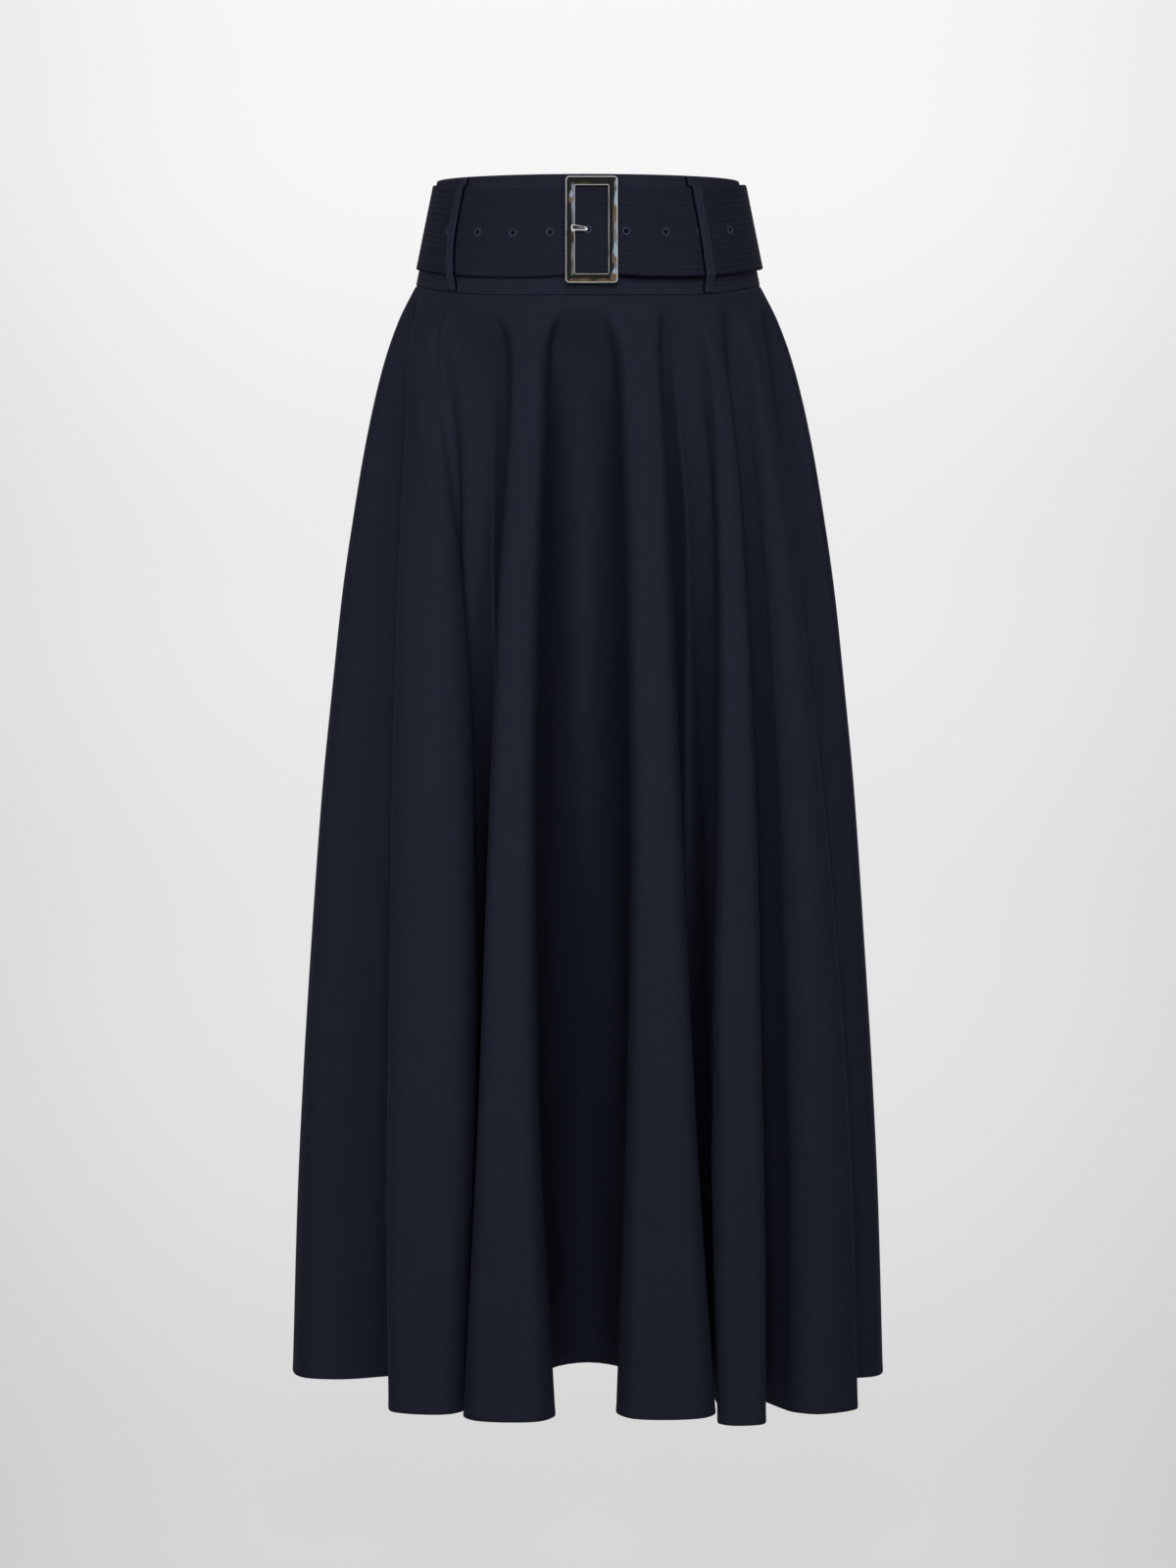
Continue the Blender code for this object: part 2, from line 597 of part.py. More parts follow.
for k, part in enumerate((
    block(pin, (-PIN_REACH, PIN_REACH), (PIN_N - PIN_X[1], PIN_N + PIN_X[1])),
    block(pin, (PIN_REACH - PIN_POST, PIN_REACH), post_n),
    block(pin, (-PIN_REACH, PIN_POST - PIN_REACH), post_n),
)):
    boolean(buckle, cutter("join_bar_%d" % k, *part), "UNION")

# Prong: an eye round the centre bar and a flat finger out through the eyelet
rings = []
for grow, w in ((0, -1), (EYE, -1), (EYE, 1), (0, 1)):
    half_x, half_n = PIN_X[0] + PLAY + grow, PIN_X[1] + PLAY + grow
    corners = ((1, 1), (-1, 1), (-1, -1), (1, -1))
    rings.append([
        at_buckle(BUCKLE_X + i * half_x, w * EYE_HALF_W, PIN_N + j * half_n) for i, j in corners
    ])
verts = [p for ring in rings for p in ring]
faces = []
for k in range(4):
    for j in range(4):
        a, b = k * 4, (k + 1) % 4 * 4
        faces.append((a + j, a + (j + 1) % 4, b + (j + 1) % 4, b + j))
prong = add_mesh("prong", verts, faces, "metal")
FINGER_SHAPE = ((1, 0.4), (0.75, 1), (-0.75, 1), (-1, 0.4), (-1, -0.4), (-0.75, -1), (0.75, -1), (1, -0.4))
rings = []
for k, (x, n, half_w, half) in enumerate(PRONG):
    off = along(PRONG, k)[1] * half
    w0 = PRONG_W + PRONG_SLOPE * (PRONG[0][0] - x)
    rings.append([
        at_buckle(x + off[0] * j, w0 + half_w * i, n + off[1] * j) for i, j in FINGER_SHAPE
    ])
boolean(prong, cutter("join_finger", *loft(rings)), "UNION")


# ---------------------------------------------------------------- belt loops
def loop_path(deg, over):
    """Heights and lifts of a loop's inner face, from its top end down."""
    low = float(seam_height(unit(deg)[1]))
    top, bottom = belt_edges(deg)
    lift = over + 0.0005
    return (
        (BAND_TOP_Z - 0.0010, 0.0004), (top + 0.0024, 0.0006),
        (top + 0.0014, 0.5 * lift + 0.0003), (top + 0.0005, lift),
        (top - 0.0100, lift + 0.0004), (top - 0.0300, lift + 0.0007),
        (bottom + 0.0220, lift + 0.0007), (bottom + 0.0070, lift + 0.0004),
        (bottom - 0.0006, lift), (bottom - 0.0036, 0.55 * lift + 0.0004),
        (low + 0.0044, 0.0007), (low + 0.0008, 0.0004),
    )


for name, degs, over in LOOPS:
    path = loop_path(degs[1], over)
    top, foot = path[0][0], path[-1][0]
    grids = []
    for extra in (LOOP, 0.0):
        rows = []
        for z, lift in path:
            deg = smooth((top - z) / (top - foot), (0.0, 0.5, 1.0), degs)
            row = []
            for side in (-1.0, -0.5, 0.0, 0.5, 1.0):
                turn = math.degrees(side * LOOP_WIDTH / 2 / LOOP_R)
                edge = LOOP_ROUND if abs(side) == 1.0 and extra else 0.0
                row.append(on_band(deg + turn, z, lift + extra - edge))
            rows.append(row)
        grids.append(rows)
    add_slab(name, *grids, "band")
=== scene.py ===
"""Looks of the circle skirt: fine cloth, stitching, metal, light and camera.

Metres, Z up, the front faces -Y. Every piece lies where its solid lies.
"""
import math

import bpy
import numpy as np
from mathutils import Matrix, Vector


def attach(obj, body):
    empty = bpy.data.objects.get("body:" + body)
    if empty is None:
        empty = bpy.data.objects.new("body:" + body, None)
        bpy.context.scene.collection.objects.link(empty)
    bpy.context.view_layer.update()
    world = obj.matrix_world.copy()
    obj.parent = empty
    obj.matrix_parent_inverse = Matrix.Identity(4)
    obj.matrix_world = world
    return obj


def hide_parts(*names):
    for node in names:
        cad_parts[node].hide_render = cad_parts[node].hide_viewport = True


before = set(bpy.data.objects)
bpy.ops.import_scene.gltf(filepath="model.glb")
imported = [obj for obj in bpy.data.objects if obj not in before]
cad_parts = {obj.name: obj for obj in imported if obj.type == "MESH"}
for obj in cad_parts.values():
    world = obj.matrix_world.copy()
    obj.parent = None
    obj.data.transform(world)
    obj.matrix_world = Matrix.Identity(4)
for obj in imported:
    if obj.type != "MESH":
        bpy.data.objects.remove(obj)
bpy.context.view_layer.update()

# Outline of the skirt, metres: share of the way down, half width, half depth
OUTLINE = (
    (0.000, 0.1405, 0.108), (0.030, 0.1540, 0.119), (0.074, 0.1675, 0.132),
    (0.142, 0.1815, 0.147), (0.204, 0.1910, 0.157), (0.280, 0.2010, 0.168),
    (0.365, 0.2092, 0.179), (0.457, 0.2175, 0.189), (0.600, 0.2270, 0.201),
    (0.728, 0.2342, 0.211), (0.838, 0.2390, 0.219), (1.000, 0.2434, 0.228),
)
LEVELS = (0.0, 0.142, 0.457, 0.728, 1.0)

# One row per fold, as in the solids: where its crest stands at seam, hip, knee,
# calf and hem (degrees from the front), half its width there (mm), the way it
# points (degrees), depth of the valley after it and half that valley's width
# (mm), the overhang of its left and right edges (mm), its hem's drop (mm).
FOLDS = (
    # name       seam    hip   knee   calf    hem   w1  w2  w3  w4  aim valley m  hookl hookr drop
    ("left",     -88.0, -88.0, -88.0, -88.0, -88.0, 24, 34, 36, 40, -82, 170, 10,  2,  2,  8),
    ("f2",       -64.0, -47.5, -37.2, -34.1, -33.4, 26, 34, 36, 31, -14, 160,  5,  2,  9, 10),
    ("f3",       -18.0, -16.2, -16.3, -15.9, -15.4, 15, 18, 24, 36,  -5, 250, 30, 16,  2, 11),
    ("f4",        14.9,  14.6,  14.6,  14.6,  15.2, 18, 20, 27, 39,   4, 150,  6,  2, 15,  9),
    ("f5",        41.0,  37.5,  33.6,  31.2,  31.0, 10, 16, 20, 18,  10, 130,  7,  3,  2, 18),
    ("f6",        61.0,  55.2,  56.4,  57.0,  56.3, 12, 20, 26, 30,  36, 120,  8,  2,  4, 20),
    ("right",     89.0,  88.0,  88.0,  88.0,  88.0, 20, 26, 32, 36,  88, 140,  9,  2,  2,  7),
    ("b1",       118.0, 118.0, 118.0, 118.0, 118.0, 18, 22, 28, 33, 128, 150,  9,  2,  6,  8),
    ("b2",       143.0, 143.0, 143.0, 143.0, 143.0, 16, 20, 26, 31, 156, 170,  9,  2,  2,  6),
    ("b3",       167.0, 167.0, 167.0, 167.0, 167.0, 16, 20, 25, 33, 173, 150, 15,  2,  2,  4),
    ("b4",       192.0, 192.0, 192.0, 192.0, 192.0, 16, 20, 25, 33, 186, 170,  9,  6,  2,  5),
    ("b5",       216.0, 216.0, 216.0, 216.0, 216.0, 17, 20, 27, 31, 203, 160,  9,  2,  2,  9),
    ("b6",       243.0, 243.0, 243.0, 243.0, 243.0, 18, 22, 28, 33, 233, 150,  9,  2,  2,  7),
)
VALLEY_GROWTH = (           # share of the way down, share of the valley's depth
    (0.0, 0.0), (0.010, 0.006), (0.02, 0.03), (0.035, 0.07), (0.06, 0.125), (0.1, 0.185),
    (0.142, 0.235), (0.28, 0.36), (0.457, 0.52), (0.728, 0.77), (1.0, 1.0),
)
SHALLOW, DEEP = 0.12, 0.67  # valley depth against the gap of its crests
STEP_RIGHT, STEP_LEFT = 0.005, 0.008    # width of a shallow crest's step down
SEAM_NARROWING = 0.03       # share of the way down over which valleys open
VALLEY_HEM_LIFT = 0.004
SEAM_Z, SEAM_DIP, HEM_Z = -0.0430, 0.0120, -0.9276
SPANS = 10                  # guide points of one fold
SEAM_GAP = 0.00006          # half the gap between neighbouring pieces
CLOTH = 0.8                 # thickness of the skirt's cloth (mm)
FALL = 0.885                # height of the skirt below its seam

# Soft creases: fold coordinate at the top and at the foot (a fold's crest lies
# at .3 and the floor of its valley at .8), share of the way down of its top and
# foot, half width (mm), height (mm; a trough is negative).
CREASES = (
    (0.10, 0.05, 0.02, 0.50, 13, 1.6), (0.45, 0.42, 0.10, 0.85, 12, -1.8),
    (0.58, 0.55, 0.03, 0.40, 8, 1.4), (1.12, 1.18, 0.01, 0.38, 10, -1.8),
    (1.40, 1.56, 0.004, 0.34, 5, -4.4), (1.57, 1.60, 0.10, 0.60, 4, -3.0),
    (1.26, 1.42, 0.006, 0.34, 7, 2.2), (1.30, 1.26, 0.35, 0.98, 16, 1.8),
    (1.80, 1.78, 0.03, 0.22, 12, -1.2), (2.24, 2.28, 0.00, 0.26, 7, 1.2),
    (2.36, 2.34, 0.30, 0.95, 11, -1.6), (2.80, 2.78, 0.02, 0.20, 16, -1.3),
    (2.72, 2.70, 0.45, 0.95, 16, 2.2), (3.22, 3.30, 0.02, 0.45, 9, 1.5),
    (3.46, 3.38, 0.15, 0.75, 9, -1.5), (3.78, 3.80, 0.01, 0.24, 9, -1.1),
    (4.26, 4.30, 0.00, 0.28, 6, 1.3), (4.46, 4.40, 0.20, 0.80, 8, -1.2),
    (4.84, 4.88, 0.01, 0.30, 7, 1.3), (5.22, 5.30, 0.00, 0.34, 6, 1.4),
    (5.40, 5.34, 0.25, 0.90, 9, -1.6), (5.70, 5.74, 0.01, 0.26, 6, -1.2),
    (5.92, 5.90, 0.00, 0.22, 5, 1.2), (6.20, 6.28, 0.02, 0.60, 11, 1.6),
    (6.48, 6.40, 0.12, 0.85, 10, -1.6), (6.76, 6.78, 0.01, 0.25, 9, 1.2),
    (7.20, 7.26, 0.01, 0.42, 9, -1.6), (7.38, 7.34, 0.22, 0.90, 11, 1.8),
    (7.82, 7.80, 0.02, 0.30, 8, 1.2), (8.24, 8.20, 0.01, 0.50, 8, 1.5),
    (8.42, 8.44, 0.30, 0.92, 10, -1.7), (8.78, 8.80, 0.01, 0.24, 8, -1.2),
    (9.18, 9.24, 0.02, 0.46, 9, -1.5), (9.36, 9.34, 0.20, 0.86, 10, 1.7),
    (10.22, 10.18, 0.02, 0.44, 9, 1.5), (10.44, 10.42, 0.18, 0.88, 9, -1.6),
    (10.80, 10.82, 0.01, 0.26, 8, 1.2), (11.20, 11.26, 0.01, 0.40, 8, -1.5),
    (4.08, 4.08, 0.72, 1.30, 12, 3.2), (11.40, 11.36, 0.25, 0.94, 11, 1.7),
    (11.84, 11.82, 0.02, 0.28, 8, -1.2),
    (12.22, 12.28, 0.02, 0.50, 10, 1.5), (12.46, 12.42, 0.20, 0.90, 10, -1.7),
    (12.78, 12.80, 0.01, 0.30, 9, 1.3),
)
# Rows at the waist seam and at the hem: mm from the edge, outside lift (mm)
SEAM_ROWS = ((0.0, -0.9), (0.5, -0.55), (1.3, -0.1), (2.4, 0.0), (5.0, 0.0), (9.0, 0.0))
# mm above the hem's edge, outside lift (mm), thickness of the layers there (mm)
HEM_ROWS = (
    (9.0, 0.0, 0.8), (7.6, 0.02, 0.8), (7.2, 0.10, 1.7), (6.6, 0.06, 1.7), (6.2, -0.14, 1.6),
    (5.8, 0.06, 1.7), (4.0, 0.18, 1.8), (1.6, 0.16, 1.8), (0.5, 0.02, 1.6), (0.1, -0.30, 1.0),
    (0.0, -0.62, 0.4),
)

SECTOR = math.radians(255.0)    # of the three-quarter circle that the skirt is cut from
CUT_RADIUS = 0.177          # of its waist edge
CUT_LENGTH = 0.90           # from its waist edge to its hem

# Waistband and belt: thicknesses, heights and half widths of their edges
BAND = 0.0024
BAND_TOP_Z = 0.0418
BAND_TOP = (0.1232, 0.0900)
BAND_RADIUS = 0.125         # its mean radius, to lay angles out flat
BAND_ROWS_TOP = (0.0016, 0.0052)                    # stitch rows, down from its top edge
BAND_ROWS_LOW = (0.0118, 0.0080, 0.0042, 0.0012)    # and up from the seam
BELT = 0.0022
BELT_WIDE, BELT_LONG = 0.0680, 1.03
BELT_LIFT = 0.0004          # of its inner face off what it lies on
BELT_Z = (0.0380, -0.0300)
BELT_DIP = (0.0082, 0.0112)     # how much lower its edges lie in front
BELT_OVER_BAR = 0.0067      # lift of the belt over the buckle's centre bar
TAIL_END = 108.0            # degrees from the front
TAIL_ROUND = 9.0            # degrees over which its corners are rounded
BELT_ROWS = [0.0020 + 0.0045 * k for k in range(15)]    # stitch rows, down from its top edge
GROOVES = (0.00016, 0.00012)    # depth at the stitch rows of waistband and belt
ROUNDED = (0.0008, 0.00095)     # how far their edges are rounded off
FAR = 9.0                   # stands for any x away from the front
EYELETS = (-110.9, -87.0, -59.0, -29.9, -0.3, 29.6, 60.1, 87.2, 111.0)   # mm from the front
HOLE = 0.0019               # radius of an eyelet's hole
EYELET_STITCHES = 28        # round one hole

# Painted shade: how light the cloth is painted where another piece covers it and shades it
UNDER_BELT, UNDER_TAIL = 0.15, 0.15

# Buckle, in its own plane: x to the right, w up, n out from the waistband
BUCKLE_X, BUCKLE_Z = 0.0029, -0.0050
BUCKLE_HALF = (0.0208, 0.0435)
BUCKLE_BAR = 0.0077         # width of the frame's sides
FRAME_BACK, FRAME_FRONT = 0.0068, 0.0096
PIN_X, PIN_N = (0.0020, 0.0010), 0.0039
PRONG_W, PRONG_SLOPE = -0.0001, 0.09    # it lies a little higher at its tip

# Belt loops: name, degrees from the front at top, middle and foot, lift of what they cross
LOOPS = (
    ("loop_front_left", (-52.9, -54.0, -50.8), 0.0026),
    ("loop_front_right", (41.3, 42.9, 43.5), 0.0052),
    ("loop_back_right", (130.6, 131.2, 131.0), 0.0026),
    ("loop_back_left", (-131.3, -131.0, -130.4), 0.0026),
)
LOOP_WIDTH, LOOP = 0.0088, 0.0018
LOOP_RADIUS = 0.128         # of the belt's outside, to turn a width into an angle
LOOP_FLARE = 1.20           # its turned edges spread this far where they meet the belt
LOOP_GROOVE = 0.55          # share of the half width at which its stitches lie

THREAD = 0.00016            # thickness of the thread
NAVY = (0.0149, 0.0171, 0.0288)
RIB_PITCH, RIB_SLOPE = 0.00065, 58      # the twill's ribs (m, degrees)
WAVE_SCALE = 0.314          # scale of a wave texture that repeats once a metre

# Soft waves in the buckle's polished face: x and w of the middle, radius (mm),
# stretch along w, height (mm)
WAVES = (
    (17.5, 22.0, 5.5, 0.45, 0.34), (16.5, -19.0, 5.0, 0.50, 0.32), (-18.5, 27.0, 4.0, 0.60, 0.22),
    (15.0, -36.0, 6.0, 1.00, 0.30),
)

FLOOR_Z, FLOOR_RADIUS = -1.10, 2.6
CAMERA_PLACE = (0.0, -4.0, -0.242)
CAMERA_LENS, CAMERA_DOWN = 111.99, 2.98     # mm, degrees it looks down


# ---- the form
def smooth(x, xs, ys):
    """Monotone cubic through the points of a short table."""
    xs, ys = np.asarray(xs, float), np.asarray(ys, float)
    h, d = np.diff(xs), np.diff(ys) / np.diff(xs)
    m = np.zeros_like(ys)
    m[0], m[-1] = d[0], d[-1]
    for i in range(1, len(xs) - 1):
        if d[i - 1] * d[i] > 0:
            w1, w2 = 2 * h[i] + h[i - 1], h[i] + 2 * h[i - 1]
            m[i] = (w1 + w2) / (w1 / d[i - 1] + w2 / d[i])
    i = int(np.clip(np.searchsorted(xs, x) - 1, 0, len(xs) - 2))
    t = min(max((x - xs[i]) / h[i], 0.0), 1.0)
    return float(
        ys[i] * (1 + 2 * t) * (1 - t) ** 2 + ys[i + 1] * t * t * (3 - 2 * t)
        + h[i] * m[i] * t * (1 - t) ** 2 + h[i] * m[i + 1] * t * t * (t - 1)
    )


def normed(way):
    """A way of length 1."""
    return way / np.linalg.norm(way)


def ease(x, x0, x1):
    """0 before x0, 1 after x1, soft between them."""
    t = np.clip((x - x0) / (x1 - x0), 0.0, 1.0)
    return t * t * (3 - 2 * t)


def outline(v):
    """Half width and half depth of the skirt at share v of the way down."""
    shares, widths, depths = zip(*OUTLINE)
    return smooth(v, shares, widths), smooth(v, shares, depths)


def on_outline(v, deg):
    """Point and outward direction on the outline (x, d)."""
    a, b = outline(v)
    s, c = unit(deg)
    return np.array([a * s, b * c]), normed(np.array([s / a, c / b]))


def unit(deg):
    """Direction (x, d) at an angle from the front."""
    return np.array([math.sin(math.radians(deg)), math.cos(math.radians(deg))])


def section(v):
    """Guide points (x, d, drop) of the cloth's section at share v of the way down.

    A shallow fold is a flat crest with a step down to a flat valley; a deep one
    is a round crest with straight sides, a neck and a round valley. Each is a
    blend of the two. Ten points to a fold: neck, edge and shoulder of its left
    side, its tip, the same on its right, and three for the valley after it."""
    n = len(FOLDS)
    growth = smooth(v, *zip(*VALLEY_GROWTH))
    turn = [smooth(v, LEVELS, row[1:6]) for row in FOLDS]
    turn.append(turn[0] + 360)
    wide = [smooth(v, LEVELS, (0.8 * row[6],) + tuple(row[6:10])) / 1000 for row in FOLDS]
    tips = [on_outline(v, t) for t in turn]
    gaps = [np.linalg.norm(tips[i + 1][0] - tips[i][0]) for i in range(n)]
    depths = [row[11] / 1000 * growth for row in FOLDS]
    deep = [ease(depths[i] / gaps[i], SHALLOW, DEEP) for i in range(n)]
    near_seam = math.exp(-(v / SEAM_NARROWING) ** 2)

    def shallow(i, share, part):
        """Point in the gap after fold i, part of the valley's depth in."""
        p, nrm = on_outline(v, turn[i] + (turn[i + 1] - turn[i]) * share)
        return p - nrm * depths[i] * part

    def step_shares(i, j, sign):
        """Shares of gap j where fold i's flat crest, its edge and its step end."""
        gap = gaps[j]
        half = wide[i] + max(0.0, 0.34 * gap - wide[i]) * 0.7 * near_seam
        step = STEP_RIGHT if sign > 0 else STEP_LEFT
        edge = min(half / gap, 0.30)
        foot = min(edge + step / gap, 0.37)
        return min(0.72 * half / gap, 0.22), edge, foot, min(foot + 0.012 / gap, 0.44)

    lobes, pts = [], []
    for i, row in enumerate(FOLDS):
        tip, nrm = tips[i]
        k = 0.5 * (deep[i - 1] + deep[i])
        axis = normed(nrm * (1 - k) + unit(row[10]) * k)
        across = np.array([axis[1], -axis[0]])
        sides = []
        for j, sign in (((i - 1) % n, -1), (i, 1)):
            half, back = wide[i], min(0.8 * wide[i], 0.42 * depths[j])
            neck = 0.55 * min(half, 0.3 * depths[j])
            hook = row[13 if sign < 0 else 14] / 1000 * v * v
            bold = (
                tip - axis * 0.22 * back + across * sign * 0.72 * half,
                tip - axis * back + across * sign * half,
                tip - axis * (back + neck) + across * sign * (half - hook),
            )
            shares = step_shares(i, j, sign)
            soft = [
                shallow(j, share if sign > 0 else 1 - share, part)
                for share, part in zip(shares, (0.03, 0.2, 0.8))
            ]
            mixed = [b * deep[j] + a * (1 - deep[j]) for a, b in zip(soft, bold)]
            sides.append(mixed + [back, bold[1]])
        lobes.append((tip, sides, axis))
    for i, row in enumerate(FOLDS):
        after = (i + 1) % n
        tip, (left, right), axis = lobes[i]
        drop = row[15] / 1000
        crest = (left[2], left[1], left[0], tip, right[0], right[1], right[2])
        pts += [(*p, drop) for p in crest]
        _, (left2, _), axis2 = lobes[after]
        way = normed(axis + axis2)
        across = np.array([way[1], -way[0]])
        reach = depths[i] - 0.5 * (right[3] + left2[3])
        floor = 0.5 * (right[4] + left2[4]) - way * reach
        m = row[12] / 1000 * (0.6 + 0.4 * v)
        g = min(m, 0.22 * depths[i])
        bold = (floor + way * g - across * m, floor, floor + way * g + across * m)
        s0, s1 = step_shares(i, i, 1)[3], 1 - step_shares(after, i, -1)[3]
        places = ((s0, 0.97), (0.5 * (s0 + s1), 1.0), (s1, 0.97))
        drop = 0.5 * (row[15] + FOLDS[after][15]) / 1000 - VALLEY_HEM_LIFT
        for b, place in zip(bold, places):
            pts.append((*(b * deep[i] + shallow(i, *place) * (1 - deep[i])), drop))
    return np.array(pts)


def on_curve(p, t, x):
    """Point at x of the centripetal curve through four points p at the places t."""
    a = [((t[j + 1] - x) * p[j] + (x - t[j]) * p[j + 1]) / (t[j + 1] - t[j]) for j in range(3)]
    b = [((t[j + 2] - x) * a[j] + (x - t[j]) * a[j + 1]) / (t[j + 2] - t[j]) for j in range(2)]
    return ((t[2] - x) * b[0] + (x - t[1]) * b[1]) / (t[2] - t[1])


def spline(points, k):
    """Closed centripetal curve through the points, k steps in each span."""
    p = [np.roll(points, s, axis=0) for s in (1, 0, -1, -2)]
    t = [np.zeros((len(points), 1))]
    for j in range(3):
        gap = np.linalg.norm((p[j + 1] - p[j])[:, :2], axis=1, keepdims=True)
        t.append(t[-1] + np.sqrt(np.maximum(gap, 1e-6)))
    out = [on_curve(p, t, t[1] + (t[2] - t[1]) * s / k) for s in range(k)]
    return np.stack(out, 1).reshape(-1, 3)


def through(points, k):
    """Open curve of the same kind."""
    p = np.asarray(points, float)
    p = np.vstack([2 * p[0] - p[1], p, 2 * p[-1] - p[-2]])
    t = [0.0]
    for a, b in zip(p[:-1], p[1:]):
        t.append(t[-1] + np.linalg.norm(b - a) ** 0.5)
    out = []
    for i in range(1, len(p) - 2):
        for s in range(k + (i == len(p) - 3)):
            x = t[i] + (t[i + 1] - t[i]) * s / k
            out.append(on_curve(p[i - 1:i + 3], t[i - 1:i + 3], x))
    return np.array(out)


def seam_height(front):
    """Height of the waist seam; front is 1 at the middle of the front, 0 at the sides."""
    return SEAM_Z - SEAM_DIP * 0.5 * (1 - np.cos(np.pi * np.clip(front, 0, 1)))


def sideways(ring):
    """Outward direction of a closed ring in its own plane, one per point."""
    along = np.roll(ring, -1, 0) - np.roll(ring, 1, 0)
    along = along[:, :2] / np.linalg.norm(along[:, :2], axis=1, keepdims=True)
    return np.stack([along[:, 1], -along[:, 0], np.zeros(len(ring))], 1)


def around(ring):
    """Distance along a closed ring up to each point, and all the way round."""
    step = np.linalg.norm(np.roll(ring, -1, 0) - ring, axis=1)
    return np.concatenate([[0.0], np.cumsum(step)])


def crease_lift(v, ring, k):
    """How far the soft creases lift each point of a ring."""
    path = around(ring)
    total, place = path[-1], path[:-1]
    columns = np.arange(len(path)) / (SPANS * k)
    lift = np.zeros(len(ring))
    for top, foot, v0, v1, half, height in CREASES:
        if not v0 < v < v1:
            continue
        t = (v - v0) / (v1 - v0)
        centre = np.interp(top + (foot - top) * t, columns, path)
        off = np.abs(place - centre)
        off = np.minimum(off, total - off)
        fade = math.sin(math.pi * t ** 0.6) ** 1.2
        lift += height / 1000 * fade * np.exp(-(off / (half / 1000)) ** 2)
    return lift


def cloth_ring(v, k, extra):
    """Outside of the skirt (X, Y, Z) round at share v of the way down."""
    guide = section(max(v, 1e-4))
    a, b = outline(v)
    if v < 1e-6:
        turn = np.unwrap(np.arctan2(guide[:, 0] / a, guide[:, 1] / b))
        guide = np.stack([a * np.sin(turn), b * np.cos(turn), guide[:, 2]], 1)
    c = spline(guide, k)
    z_seam = seam_height(c[:, 1] / b) - SEAM_GAP
    z = z_seam + (HEM_Z - c[:, 2] - z_seam) * v
    ring = np.stack([c[:, 0], -c[:, 1], z], 1)
    return ring + sideways(ring) * (crease_lift(v, ring, k) + extra)[:, None]


# ---- meshes
def join(parts):
    """Vertices and faces of several meshes as one."""
    verts, faces = [], []
    for v, f in parts:
        faces += [tuple(i + len(verts) for i in face) for face in f]
        verts += list(v)
    return verts, faces


def tube_faces(rings, sides, closed=False):
    """Faces between rings of points in a row, with caps on its ends or closed on itself."""
    faces = []
    for k in range(rings if closed else rings - 1):
        step = sides if k < rings - 1 else -k * sides
        for j in range(sides):
            a, b = k * sides + j, k * sides + (j + 1) % sides
            faces.append((a, b, b + step, a + step))
    if closed:
        return faces
    last = (rings - 1) * sides
    return faces + [tuple(range(sides - 1, -1, -1)), tuple(range(last, last + sides))]


def finish_mesh(name, verts, faces, mat, slot, uvs=None, sharp=None):
    """A smooth-shaded piece whose faces look outward, riding on the one body."""
    verts = np.asarray(verts, float)
    fans = np.array([(f[0], f[k], f[k + 1]) for f in faces for k in range(1, len(f) - 1)])
    a, b, c = verts[fans].transpose(1, 0, 2)
    if np.sum(a * np.cross(b, c)) < 0:
        faces = [tuple(reversed(f)) for f in faces]
    mesh = bpy.data.meshes.new(name)
    mesh.from_pydata(verts.tolist(), [], [tuple(int(i) for i in f) for f in faces])
    mesh.polygons.foreach_set("use_smooth", [True] * len(mesh.polygons))
    if sharp is not None:
        mesh.set_sharp_from_angle(angle=math.radians(sharp))
    if uvs is not None:
        layer = mesh.uv_layers.new(name="UVMap")
        index = np.empty(len(mesh.loops), int)
        mesh.loops.foreach_get("vertex_index", index)
        layer.data.foreach_set("uv", np.asarray(uvs, float)[index].ravel())
    mesh.materials.append(mat)
    obj = bpy.data.objects.new(name, mesh)
    bpy.context.scene.collection.objects.link(obj)
    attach(obj, "root")
    return obj


def grid_faces(rows, cols, start, flip):
    """Quads of a grid of points whose first vertex is start."""
    corner = (start + np.arange(rows - 1)[:, None] * cols + np.arange(cols - 1)).ravel()
    quads = np.stack([corner, corner + 1, corner + cols + 1, corner + cols], 1)
    return quads[:, ::-1] if flip else quads


def shell(name, outer, inner, uv, mat, slot, edge=None):
    """A closed sheet between two grids of points (rows x columns x 3).

    uv is its grid of places on the flat; edge is a material for its rim's faces, if it has one (on the
    loops a painted shade)."""
    rows, cols = outer.shape[:2]
    verts = np.concatenate([outer.reshape(-1, 3), inner.reshape(-1, 3)])
    faces = [grid_faces(rows, cols, 0, False), grid_faces(rows, cols, rows * cols, True)]
    border = list(range(cols))
    border += [r * cols + cols - 1 for r in range(1, rows)]
    border += [(rows - 1) * cols + c for c in range(cols - 2, -1, -1)]
    border += [r * cols for r in range(rows - 2, 0, -1)]
    a = np.array(border)
    b = np.roll(a, -1)
    faces.append(np.stack([a, a + rows * cols, b + rows * cols, b], 1))
    uvs = np.concatenate([uv.reshape(-1, 2), uv.reshape(-1, 2)])
    piece = finish_mesh(name, verts, np.concatenate(faces), mat, slot, uvs)
    if edge is not None:
        piece.data.materials.append(edge)
        for polygon in piece.data.polygons[-len(border):]:
            polygon.material_index = 1
    return piece


def paint_shade(piece, values):
    """Keeps for the piece's material how light each of its points is painted."""
    layer = piece.data.attributes.new("shade", "FLOAT", "POINT")
    layer.data.foreach_set("value", values)


